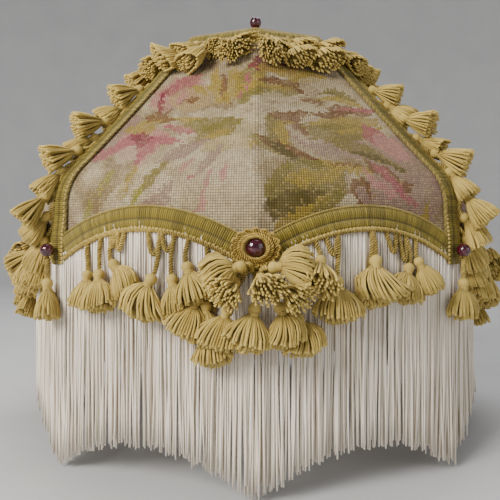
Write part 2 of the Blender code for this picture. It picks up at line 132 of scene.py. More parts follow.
def rib_bends():
    """Angle at which the shoulder runs on into the slope, and the two centres as (radius, height)."""
    a, b = SHOULDER_RADIUS, SLOPE_RADIUS
    centre = Vector((RIM_RADIUS - a, SKIRT_HEIGHT))
    to_top = Vector((TOP_RADIUS, SHADE_HEIGHT)) - centre
    share = (to_top.length_squared + a * a + 2 * a * b) / (2 * (a + b) * to_top.length)
    turn = math.atan2(to_top.y, to_top.x) - math.acos(share)
    return turn, centre, centre + Vector((math.cos(turn), math.sin(turn))) * (a + b)


TURN, SHOULDER, HOLLOW = rib_bends()


def rib_radius(z):
    z = np.asarray(z, float)
    bend = SHOULDER.x + np.sqrt(np.maximum(SHOULDER_RADIUS**2 - (z - SHOULDER.y) ** 2, 0))
    slope = HOLLOW.x - np.sqrt(SLOPE_RADIUS**2 - (z - HOLLOW.y) ** 2)
    bend_end = SKIRT_HEIGHT + SHOULDER_RADIUS * math.sin(TURN)
    return np.where(z <= SKIRT_HEIGHT, RIM_RADIUS, np.where(z <= bend_end, bend, slope))


def bay_width(z):
    return 2 * rib_radius(z) * math.sin(BAY_ANGLE / 2)


def arch(s):
    return ARCH_HEIGHT * 4 * s * (1 - s)


def wire_surface(rib, w, z, spread=None):
    """Points of the surface through the wires. spread, where given, replaces the bay's width at z."""
    width = bay_width(z) if spread is None else spread
    across = w / width
    bay = np.floor(across)
    s = across - bay
    start = (rib + bay) * BAY_ANGLE
    r = rib_radius(z)
    bow = HEM_BOW * np.maximum(0, 1 - np.maximum(z - arch(s), 0) / BOW_FADE) ** 2 * 4 * s * (1 - s)
    x = r * ((1 - s) * np.sin(start) + s * np.sin(start + BAY_ANGLE)) + bow * np.sin(start + BAY_ANGLE / 2)
    y = r * ((1 - s) * np.cos(start) + s * np.cos(start + BAY_ANGLE)) + bow * np.cos(start + BAY_ANGLE / 2)
    return np.stack([x, -y, z], -1)


def surface_normals(rib, w, z, soft=0.0012):
    """Outward normals, rounded over the ribs within soft metres."""
    width = bay_width(z)
    along = wire_surface(rib, w + soft, z) - wire_surface(rib, w - soft, z)
    step = 4e-4
    share = w / width
    up = wire_surface(rib, share * bay_width(z + step), z + step) - wire_surface(rib, share * bay_width(z - step), z - step)
    normal = np.cross(along, up)
    return normal / np.linalg.norm(normal, axis=-1, keepdims=True)


def on_shade(rib, w, z, out=0.0, soft=0.0012):
    """Points in the shade's place, out metres outside the wires' centre lines."""
    w, z, out = np.broadcast_arrays(*(np.asarray(a, float) for a in (w, z, out)))
    points = wire_surface(rib, w, z) + surface_normals(rib, w, z, soft) * out[..., None]
    points[..., 2] -= SEAT_HEIGHT
    return points


def spot(rib, w, z, out=0.0):
    return Vector(on_shade(rib, w, z, out))


def slope_table(low, high, count=400):
    """Heights up a rib against the length along it."""
    z = np.linspace(low, high, count)
    run = np.concatenate([[0], np.cumsum(np.hypot(np.diff(z), np.diff(rib_radius(z))))])
    return run, z


# Meshes

def new_mesh(name, points, faces, uv=None, marks=None, flat=False):
    """Mesh with named point values, and uv given for each point."""
    mesh = bpy.data.meshes.new(name)
    mesh.from_pydata([tuple(p) for p in np.asarray(points, float)], [], [tuple(int(i) for i in f) for f in faces])
    if uv is not None:
        layer = mesh.uv_layers.new(name="cloth")
        corners = np.zeros(len(mesh.loops), np.int32)
        mesh.loops.foreach_get("vertex_index", corners)
        layer.data.foreach_set("uv", np.asarray(uv, np.float32)[corners].ravel())
    for key, values in (marks or {}).items():
        layer = mesh.attributes.new(key, "FLOAT", "POINT")
        layer.data.foreach_set("value", np.asarray(values, np.float32))
    if not flat:
        mesh.shade_smooth()
    mesh.update()
    return mesh


def new_object(name, mesh, material=None):
    obj = bpy.data.objects.new(name, mesh)
    bpy.context.scene.collection.objects.link(obj)
    if material is not None:
        mesh.materials.clear()
        mesh.materials.append(material)
    return obj


def grid_faces(columns, rows, wrap=False):
    """Quads of a grid of points counted across first, columns + 1 points to a row, or columns where it wraps."""
    per_row = columns if wrap else columns + 1
    i, j = np.meshgrid(np.arange(columns), np.arange(rows))
    a = (j * per_row + i).ravel()
    b = (j * per_row + (i + 1) % per_row).ravel()
    return np.stack([a, b, b + per_row, a + per_row], -1)


def tube_parts(paths, radii, sides, reference):
    """Points, faces and places along for closed tubes round paths of shape (tube, step, 3).

    reference is a vector for each tube that never runs along its path."""
    paths = np.asarray(paths, float)
    count, steps, _ = paths.shape
    tangent = np.gradient(paths, axis=1)
    tangent /= np.linalg.norm(tangent, axis=-1, keepdims=True) + 1e-12
    side = np.cross(tangent, np.broadcast_to(np.asarray(reference, float), (count, 3))[:, None, :])
    side /= np.linalg.norm(side, axis=-1, keepdims=True) + 1e-12
    other = np.cross(tangent, side)
    angle = np.arange(sides) * 2 * math.pi / sides
    radii = np.broadcast_to(np.asarray(radii, float), (count, steps))
    ring = np.cos(angle)[None, None, :, None] * side[:, :, None] + np.sin(angle)[None, None, :, None] * other[:, :, None]
    points = paths[:, :, None] + ring * radii[:, :, None, None]
    tube = grid_faces(sides, steps - 1, wrap=True)
    caps = [list(range(sides))[::-1], [(steps - 1) * sides + k for k in range(sides)]]
    faces = []
    for k in range(count):
        base = k * steps * sides
        faces.extend((tube + base).tolist())
        faces.extend([[base + i for i in cap] for cap in caps])
    along = np.broadcast_to(np.linspace(0, 1, steps)[None, :, None], (count, steps, sides)).ravel()
    tone_of = np.repeat(np.arange(count), steps * sides)
    return points.reshape(-1, 3), faces, along, tone_of


def turned_parts(profile, sides, flute=0.0):
    """Points and faces of a solid turned about Z from (radius, height), top to bottom, with fluted sides."""
    angle = np.arange(sides) * 2 * math.pi / sides
    points, faces = [], []
    for r, z in profile:
        ridge = 1 + flute * np.where(np.arange(sides) % 2, 1, -1)
        for a, f in zip(angle, ridge):
            points.append((r * f * math.cos(a), r * f * math.sin(a), z))
    rows = len(profile) - 1
    for j in range(rows):
        for i in range(sides):
            k = (i + 1) % sides
            faces.append((j * sides + i, (j + 1) * sides + i, (j + 1) * sides + k, j * sides + k))
    faces.append(tuple(range(sides)))
    faces.append(tuple(rows * sides + i for i in range(sides))[::-1])
    return points, faces


class Parts:
    """Gathers points, faces and point values of many small solids into one mesh."""

    def __init__(self, *keys):
        self.points, self.faces, self.marks = [], [], {key: [] for key in keys}

    def add(self, points, faces, matrix=None, **marks):
        base = len(self.points)
        array = np.asarray(points, float)
        if matrix is not None:
            m = np.array(matrix)
            array = array @ m[:3, :3].T + m[:3, 3]
        self.points.extend(array.tolist())
        self.faces.extend([[i + base for i in f] for f in faces])
        for key, kept in self.marks.items():
            value = marks.get(key, 0.5)
            kept.extend(np.broadcast_to(np.asarray(value, float), (len(array),)).tolist())

    def mesh(self, name):
        return new_mesh(name, self.points, self.faces, marks=self.marks)


def turned_copy(mesh, name, rib):
    """The mesh turned about the axis, so that what stood at rib 0 stands at this rib."""
    made = mesh.copy()
    made.name = name
    made.transform(Matrix.Rotation(rib * BAY_ANGLE, 4, "Z"))
    return made


def finish_piece(obj, replaced=(), body="shade"):
    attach(obj, body)
    if replaced:
        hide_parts(*replaced)
    return obj


# Node trees

def add(tree, kind, inputs=None, **settings):
    node = tree.nodes.new(kind)
    for key, value in settings.items():
        setattr(node, key, value)
    for key, value in (inputs or {}).items():
        if isinstance(value, bpy.types.NodeSocket):
            tree.links.new(value, node.inputs[key])
        else:
            node.inputs[key].default_value = value
    return node


def maths(tree, operation, *values, clamp=False):
    return add(tree, "ShaderNodeMath", dict(enumerate(values)), operation=operation, use_clamp=clamp).outputs[0]


def vector_maths(tree, operation, *values, out=0):
    return add(tree, "ShaderNodeVectorMath", dict(enumerate(values)), operation=operation).outputs[out]


def blend_colour(tree, share, first, second, mode="MIX"):
    node = add(tree, "ShaderNodeMix", data_type="RGBA", blend_type=mode)
    for key, value in ((0, share), (6, first), (7, second)):
        if isinstance(value, bpy.types.NodeSocket):
            tree.links.new(value, node.inputs[key])
        else:
            node.inputs[key].default_value = value if key == 0 else (*value[:3], 1)
    return node.outputs[2]


def spread(tree, value, low, high, to_low=0.0, to_high=1.0):
    return add(
        tree, "ShaderNodeMapRange", {"Value": value, "From Min": low, "From Max": high, "To Min": to_low, "To Max": to_high}
    ).outputs[0]


def new_tree(name, kind, inputs, outputs):
    """Node group with named sockets. inputs and outputs are (name, socket type, default)."""
    tree = bpy.data.node_groups.new(name, kind)
    for label, socket, default in inputs:
        made = tree.interface.new_socket(name=label, in_out="INPUT", socket_type=socket)
        if default is not None:
            made.default_value = default
    for label, socket in outputs:
        tree.interface.new_socket(name=label, in_out="OUTPUT", socket_type=socket)
    return tree, tree.nodes.new("NodeGroupInput").outputs, tree.nodes.new("NodeGroupOutput").inputs


def geometry_tree(name, inputs):
    tree, source, sink = new_tree(
        name,
        "GeometryNodeTree",
        [("Geometry", "NodeSocketGeometry", None), *inputs, ("Material", "NodeSocketMaterial", None)],
        [("Geometry", "NodeSocketGeometry")],
    )
    return tree, source, sink


def end_tree(tree, source, sink, instances):
    real = add(tree, "GeometryNodeRealizeInstances", {"Geometry": instances})
    smooth = add(tree, "GeometryNodeSetShadeSmooth", {"Geometry": real.outputs[0]})
    finish = add(tree, "GeometryNodeSetMaterial", {"Geometry": smooth.outputs[0], "Material": source["Material"]})
    tree.links.new(finish.outputs[0], sink[0])


def grow(name, guide, tree, **values):
    """Runs a geometry tree on a guide mesh and returns the result as a plain mesh."""
    obj = new_object(name, guide)
    modifier = obj.modifiers.new(tree.name, "NODES")
    modifier.node_group = tree
    sockets = {s.name: s.identifier for s in tree.interface.items_tree if s.in_out == "INPUT"}
    for key, value in values.items():
        modifier[sockets[key.replace("_", " ").capitalize()]] = value
    bpy.context.view_layer.update()
    made = bpy.data.meshes.new_from_object(obj.evaluated_get(bpy.context.evaluated_depsgraph_get()))
    made.name = name
    bpy.data.objects.remove(obj)
    bpy.data.meshes.remove(guide)
    return made


def guide_lines(name, lines, closed=False, **vectors):
    """Guide mesh of open or closed lines of points. vectors are arrays of the same shape, kept on the points."""
    points, edges = [], []
    for line in lines:
        base = len(points)
        points.extend(tuple(p) for p in line)
        edges.extend((base + i, base + i + 1) for i in range(len(line) - 1))
        if closed:
            edges.append((len(points) - 1, base))
    mesh = bpy.data.meshes.new(name)
    mesh.from_pydata(points, edges, [])
    for key, arrays in vectors.items():
        layer = mesh.attributes.new(key, "FLOAT_VECTOR", "POINT")
        layer.data.foreach_set("vector", np.concatenate([np.asarray(a, np.float32) for a in arrays]).ravel())
    return mesh


def named(tree, name, kind):
    return add(tree, "GeometryNodeInputNamedAttribute", {"Name": name}, data_type=kind).outputs[0]


def random_value(tree, low, high, seed, kind="FLOAT"):
    node = add(tree, "FunctionNodeRandomValue", data_type=kind)
    place = {"FLOAT_VECTOR": 0, "FLOAT": 1, "INT": 2}[kind]
    for key, value in ((place * 2, low), (place * 2 + 1, high), (8, seed)):
        if isinstance(value, bpy.types.NodeSocket):
            tree.links.new(value, node.inputs[key])
        else:
            node.inputs[key].default_value = value
    return node.outputs[place]


def store(tree, geometry, name, value, domain="POINT"):
    node = add(tree, "GeometryNodeStoreNamedAttribute", {"Geometry": geometry, "Name": name}, data_type="FLOAT", domain=domain)
    tree.links.new(value, node.inputs["Value"])
    return node.outputs[0]


def twisted_cord_tree():
    """Plies twisted round each other along every line of the guide."""
    tree, source, sink = geometry_tree(
        "twisted_cord",
        [
            ("Ply radius", "NodeSocketFloat", 0.0008),
            ("Ply offset", "NodeSocketFloat", 0.00075),
            ("Twist length", "NodeSocketFloat", 0.0052),
            ("Step", "NodeSocketFloat", 0.0008),
            ("Plies", "NodeSocketInt", 2),
            ("Sides", "NodeSocketInt", 6),
        ],
    )
    line = add(tree, "GeometryNodeMeshToCurve", {"Mesh": source["Geometry"]}).outputs[0]
    fine = add(tree, "GeometryNodeResampleCurve", {"Curve": line, "Length": source["Step"]}, mode="LENGTH").outputs[0]
    length = add(tree, "GeometryNodeSplineParameter").outputs["Length"]
    turns = maths(tree, "DIVIDE", length, source["Twist length"])
    tilt = maths(tree, "MULTIPLY", turns, 2 * math.pi)
    twisted = add(tree, "GeometryNodeSetCurveTilt", {"Curve": fine, "Tilt": tilt}).outputs[0]
    ring = add(tree, "GeometryNodeCurvePrimitiveCircle", {"Resolution": source["Plies"], "Radius": source["Ply offset"]})
    points = add(tree, "GeometryNodeCurveToPoints", {"Curve": ring.outputs[0]}, mode="EVALUATED").outputs[0]
    ply = add(tree, "GeometryNodeCurvePrimitiveCircle", {"Resolution": source["Sides"], "Radius": source["Ply radius"]})
    plies = add(tree, "GeometryNodeInstanceOnPoints", {"Points": points, "Instance": ply.outputs[0]}).outputs[0]
    profile = add(tree, "GeometryNodeRealizeInstances", {"Geometry": plies}).outputs[0]
    made = add(tree, "GeometryNodeCurveToMesh", {"Curve": twisted, "Profile Curve": profile, "Fill Caps": True}).outputs[0]
    island = add(tree, "GeometryNodeInputMeshIsland").outputs[0]
    share = maths(tree, "FRACT", maths(tree, "MULTIPLY", island, 0.618034))
    end_tree(tree, source, sink, store(tree, made, "tone", share))
    return tree


def cut_fringe_tree():
    """Strands of uneven length hung at an even spacing along the guide."""
    tree, source, sink = geometry_tree(
        "cut_fringe",
        [
            ("Strand", "NodeSocketCollection", None),
            ("Spacing", "NodeSocketFloat", 0.002),
            ("Length", "NodeSocketFloat", 0.144),
            ("Uneven", "NodeSocketFloat", 0.004),
            ("Thickness", "NodeSocketFloat", 0.0017),
            ("Lean", "NodeSocketFloat", 0.02),
            ("Stagger", "NodeSocketFloat", 0.0006),
            ("Seed", "NodeSocketInt", 1),
        ],
    )
    line = add(tree, "GeometryNodeMeshToCurve", {"Mesh": source["Geometry"]}).outputs[0]
    even = add(tree, "GeometryNodeResampleCurve", {"Curve": line, "Length": source["Spacing"]}, mode="LENGTH").outputs[0]
    points = add(tree, "GeometryNodeCurveToPoints", {"Curve": even}, mode="EVALUATED").outputs[0]
    seed = source["Seed"]

    def jitter(amount, more):
        return random_value(tree, maths(tree, "MULTIPLY", amount, -1.0), amount, maths(tree, "ADD", seed, more))

    shift = add(tree, "ShaderNodeCombineXYZ", {0: jitter(source["Stagger"], 1.0), 1: jitter(source["Stagger"], 2.0)}).outputs[0]
    moved = add(tree, "GeometryNodeSetPosition", {"Geometry": points, "Offset": shift}).outputs[0]
    length = maths(tree, "ADD", source["Length"], jitter(source["Uneven"], 3.0))
    thick = maths(tree, "MULTIPLY", source["Thickness"], random_value(tree, 0.78, 1.15, maths(tree, "ADD", seed, 4.0)))
    size = add(tree, "ShaderNodeCombineXYZ", {0: thick, 1: thick, 2: length}).outputs[0]
    turn = add(
        tree,
        "ShaderNodeCombineXYZ",
        {0: jitter(source["Lean"], 5.0), 1: jitter(source["Lean"], 6.0), 2: random_value(tree, 0.0, 6.28, seed)},
    ).outputs[0]
    rotation = add(tree, "FunctionNodeEulerToRotation", {0: turn}).outputs[0]
    strands = add(
        tree, "GeometryNodeCollectionInfo", {"Collection": source["Strand"], "Separate Children": True, "Reset Children": True}
    ).outputs[0]
    which = random_value(tree, 0, 3, maths(tree, "ADD", seed, 7.0), kind="INT")
    hung = add(
        tree,
        "GeometryNodeInstanceOnPoints",
        {"Points": moved, "Instance": strands, "Pick Instance": True, "Instance Index": which, "Rotation": rotation, "Scale": size},
    ).outputs[0]
    end_tree(tree, source, sink, store(tree, hung, "tone", random_value(tree, 0.0, 1.0, maths(tree, "ADD", seed, 8.0)), "INSTANCE"))
    return tree


def hung_tassels_tree():
    """A tassel on every point of the guide, picked and turned by the point's own values."""
    tree, source, sink = geometry_tree("hung_tassels", [("Tassel", "NodeSocketCollection", None), ("Seed", "NodeSocketInt", 1)])
    turn = add(
        tree,
        "FunctionNodeAxesToRotation",
        {0: named(tree, "up", "FLOAT_VECTOR"), 1: named(tree, "across", "FLOAT_VECTOR")},
        primary_axis="Z",
        secondary_axis="X",
    ).outputs[0]
    size = named(tree, "size", "FLOAT_VECTOR")
    which = named(tree, "kind", "FLOAT_VECTOR")
    index = add(tree, "ShaderNodeSeparateXYZ", {0: which}).outputs[0]
    tassels = add(
        tree, "GeometryNodeCollectionInfo", {"Collection": source["Tassel"], "Separate Children": True, "Reset Children": True}
    ).outputs[0]
    points = add(tree, "GeometryNodeMeshToPoints", {"Mesh": source["Geometry"]}).outputs[0]
    hung = add(
        tree,
        "GeometryNodeInstanceOnPoints",
        {"Points": points, "Instance": tassels, "Pick Instance": True, "Instance Index": index, "Rotation": turn, "Scale": size},
    ).outputs[0]
    end_tree(tree, source, sink, store(tree, hung, "batch", random_value(tree, 0.0, 1.0, source["Seed"]), "INSTANCE"))
    return tree


def braid_tree():
    """A straight length of gimp: ribs side by side, with a looped edge and a row of dashes along the other."""
    tree, source, sink = geometry_tree(
        "gimp_braid",
        [
            ("Rib", "NodeSocketObject", None),
            ("Loop", "NodeSocketObject", None),
            ("Dash", "NodeSocketObject", None),
            ("Count", "NodeSocketInt", 100),
            ("Pitch", "NodeSocketFloat", 0.0014),
            ("Width", "NodeSocketFloat", 0.014),
            ("Unevenness", "NodeSocketFloat", 0.08),
            ("Seed", "NodeSocketInt", 1),
        ],
    )
    seed = source["Seed"]

    def row(unit, every, height, seeds, lean):
        count = maths(tree, "FLOOR", maths(tree, "DIVIDE", source["Count"], float(every)))
        step = add(tree, "ShaderNodeCombineXYZ", {0: maths(tree, "MULTIPLY", source["Pitch"], float(every))}).outputs[0]
        start = add(
            tree,
            "ShaderNodeCombineXYZ",
            {0: maths(tree, "MULTIPLY", source["Pitch"], every / 2), 1: maths(tree, "MULTIPLY", source["Width"], height)},
        ).outputs[0]
        line = add(tree, "GeometryNodeMeshLine", {"Count": count, "Start Location": start, "Offset": step}).outputs[0]
        twist = random_value(tree, -0.02, 0.02, maths(tree, "ADD", seed, seeds))
        turn = add(tree, "ShaderNodeCombineXYZ", {2: maths(tree, "ADD", twist, lean)}).outputs[0]
        rotation = add(tree, "FunctionNodeEulerToRotation", {0: turn}).outputs[0]
        thick = random_value(
            tree,
            maths(tree, "SUBTRACT", 1.0, source["Unevenness"]),
            maths(tree, "ADD", 1.0, source["Unevenness"]),
            maths(tree, "ADD", seed, seeds + 1),
        )
        size = add(tree, "ShaderNodeCombineXYZ", {0: 1.0, 1: 1.0, 2: thick}).outputs[0]
        unit = add(tree, "GeometryNodeObjectInfo", {"Object": unit}).outputs["Geometry"]
        made = add(
            tree, "GeometryNodeInstanceOnPoints", {"Points": line, "Instance": unit, "Rotation": rotation, "Scale": size}
        ).outputs[0]
        return store(tree, made, "tone", random_value(tree, 0.0, 1.0, maths(tree, "ADD", seed, seeds + 2)), "INSTANCE")

    ribs = row(source["Rib"], 1, 0.0, 10.0, 0.0)
    loops = row(source["Loop"], 1, 0.47, 20.0, 0.0)
    dashes = row(source["Dash"], 2, -0.47, 30.0, 0.35)
    joined = add(tree, "GeometryNodeJoinGeometry")
    for part in (dashes, loops, ribs):
        tree.links.new(part, joined.inputs[0])
    end_tree(tree, source, sink, joined.outputs[0])
    return tree


# Finishes

def value_of(tree, name):
    return add(tree, "ShaderNodeAttribute", attribute_name=name).outputs["Fac"]


def noise(tree, scale, detail=2.0, vector=None, rough=0.5, out=0):
    inputs = {"Scale": scale, "Detail": detail, "Roughness": rough}
    if vector is None:
        vector = add(tree, "ShaderNodeTexCoord").outputs["Object"]
    inputs["Vector"] = vector
    return add(tree, "ShaderNodeTexNoise", inputs).outputs[out]


def new_finish(name, roughness, **constants):
    """Material with its shader, whose constant values stand on the shader's own sockets."""
    material = bpy.data.materials.new(name)
    material.use_nodes = True
    shader = material.node_tree.nodes["Principled BSDF"]
    shader.inputs["Roughness"].default_value = roughness
    for key, value in constants.items():
        shader.inputs[key.replace("_", " ")].default_value = value
    return material, material.node_tree, shader


def join_height(tree, shader, height, distance):
    bump = add(tree, "ShaderNodeBump", {"Strength": 1.0, "Distance": distance, "Height": height})
    tree.links.new(bump.outputs[0], shader.inputs["Normal"])


def petal_group():
    """Mask of one stitched leaf, petal or stroke, laid on the cloth by its middle, direction, size and bend."""
    tree, source, sink = new_tree(
        "stitched_petal",
        "ShaderNodeTree",
        [
            ("Cloth", "NodeSocketVector", None),
            ("Middle", "NodeSocketVector", None),
            ("Along", "NodeSocketVector", None),
            ("Half length", "NodeSocketFloat", 0.02),
            ("Half width", "NodeSocketFloat", 0.01),
            ("Bend", "NodeSocketFloat", 0.0),
            ("Fullness", "NodeSocketFloat", 1.4),
        ],
        [("Mask", "NodeSocketFloat")],
    )
    moved = vector_maths(tree, "SUBTRACT", source["Cloth"], source["Middle"])
    along = vector_maths(tree, "DOT_PRODUCT", moved, source["Along"], out=1)
    side = vector_maths(tree, "DOT_PRODUCT", moved, vector_maths(tree, "CROSS_PRODUCT", (0, 0, 1), source["Along"]), out=1)
    x = maths(tree, "DIVIDE", along, source["Half length"])
    bowed = maths(tree, "MULTIPLY", source["Bend"], maths(tree, "MULTIPLY", along, x))
    y = maths(tree, "ABSOLUTE", maths(tree, "DIVIDE", maths(tree, "SUBTRACT", side, bowed), source["Half width"]))
    reach = maths(tree, "ADD", maths(tree, "MULTIPLY", x, x), maths(tree, "POWER", y, source["Fullness"]))
    tree.links.new(maths(tree, "LESS_THAN", reach, 1.0), sink["Mask"])
    return tree


def canvas_group():
    """Square canvas stitches: the middle of each one, its rounded height, and a mask of the low gaps between them, used
    for painted shade.
    """
    tree, source, sink = new_tree(
        "canvas_stitch",
        "ShaderNodeTree",
        [("Cloth", "NodeSocketVector", None), ("Pitch", "NodeSocketFloat", 0.0011)],
        [("Stitch", "NodeSocketVector"), ("Height", "NodeSocketFloat"), ("Gap", "NodeSocketFloat"), ("Chance", "NodeSocketFloat")],
    )
    pitch = add(tree, "ShaderNodeCombineXYZ", {0: source["Pitch"], 1: source["Pitch"], 2: 1.0}).outputs[0]
    counted = vector_maths(tree, "DIVIDE", source["Cloth"], pitch)
    cell = vector_maths(tree, "FLOOR", counted)
    inside = vector_maths(tree, "SUBTRACT", counted, cell)
    middle = vector_maths(tree, "MULTIPLY", vector_maths(tree, "ADD", cell, (0.5, 0.5, 0.0)), pitch)
    tree.links.new(middle, sink["Stitch"])
    apart = add(tree, "ShaderNodeSeparateXYZ", {0: inside}).outputs
    rise = [maths(tree, "SINE", maths(tree, "MULTIPLY", axis, math.pi)) for axis in apart[:2]]
    dome = maths(tree, "POWER", maths(tree, "MULTIPLY", *rise), 0.5)
    chance = add(tree, "ShaderNodeTexWhiteNoise", {"Vector": cell}, noise_dimensions="3D").outputs["Value"]
    tree.links.new(maths(tree, "MULTIPLY", dome, spread(tree, chance, 0.0, 1.0, 0.7, 1.0)), sink["Height"])
    tree.links.new(spread(tree, dome, 0.62, 0.2), sink["Gap"])
    tree.links.new(chance, sink["Chance"])
    return tree


def thread_group():
    """Fine lengthwise fibres of spun yarn, with lighter and darker patches."""
    tree, source, sink = new_tree(
        "spun_thread",
        "ShaderNodeTree",
        [
            ("Light", "NodeSocketColor", (1, 1, 1, 1)),
            ("Dark", "NodeSocketColor", (0, 0, 0, 1)),
            ("Tone", "NodeSocketFloat", 0.5),
            ("Fibres", "NodeSocketFloat", 2600.0),
            ("Patches", "NodeSocketFloat", 60.0),
        ],
        [("Colour", "NodeSocketColor"), ("Height", "NodeSocketFloat")],
    )
    place = add(tree, "ShaderNodeTexCoord").outputs["Object"]
    fibre = noise(tree, source["Fibres"], 2.0, place)
    patch = noise(tree, source["Patches"], 2.0, place)
    mixed = maths(tree, "ADD", maths(tree, "MULTIPLY", source["Tone"], 0.45), maths(tree, "MULTIPLY", patch, 0.55))
    share = maths(tree, "ADD", mixed, maths(tree, "MULTIPLY", maths(tree, "SUBTRACT", fibre, 0.5), 0.5), clamp=True)
    tree.links.new(blend_colour(tree, share, source["Dark"], source["Light"]), sink["Colour"])
    tree.links.new(fibre, sink["Height"])
    return tree


def dust_and_hollow_shade_group():
    """Broad patches of soft grey-brown dust, and painted shade that darkens the hollows, both in one given colour."""
    tree, source, sink = new_tree(
        "dust_and_hollow_shade",
        "ShaderNodeTree",
        [("Colour", "NodeSocketColor", (1, 1, 1, 1)), ("Dust_and_shade", "NodeSocketColor", (0.3, 0.25, 0.17, 1)), ("Amount", "NodeSocketFloat", 0.3)],
        [("Colour", "NodeSocketColor")],
    )
    patch = spread(tree, noise(tree, 16.0, 4.0, rough=0.6), 0.42, 0.72)
    # Painted shade: darker where the surface is hollow, by Pointiness.
    hollow_shade = spread(tree, maths(tree, "SUBTRACT", 0.5, add(tree, "ShaderNodeNewGeometry").outputs["Pointiness"]), 0.0, 0.06)
    share = maths(tree, "MULTIPLY", maths(tree, "ADD", patch, hollow_shade, clamp=True), source["Amount"])
    tree.links.new(blend_colour(tree, share, source["Colour"], source["Dust_and_shade"]), sink["Colour"])
    return tree


def use(tree, group, inputs=None):
    node = tree.nodes.new("ShaderNodeGroup")
    node.node_tree = group
    for key, value in (inputs or {}).items():
        if isinstance(value, bpy.types.NodeSocket):
            tree.links.new(value, node.inputs[key])
        elif node.inputs[key].type == "RGBA":
            node.inputs[key].default_value = (*value[:3], 1)
        else:
            node.inputs[key].default_value = value
    return node.outputs


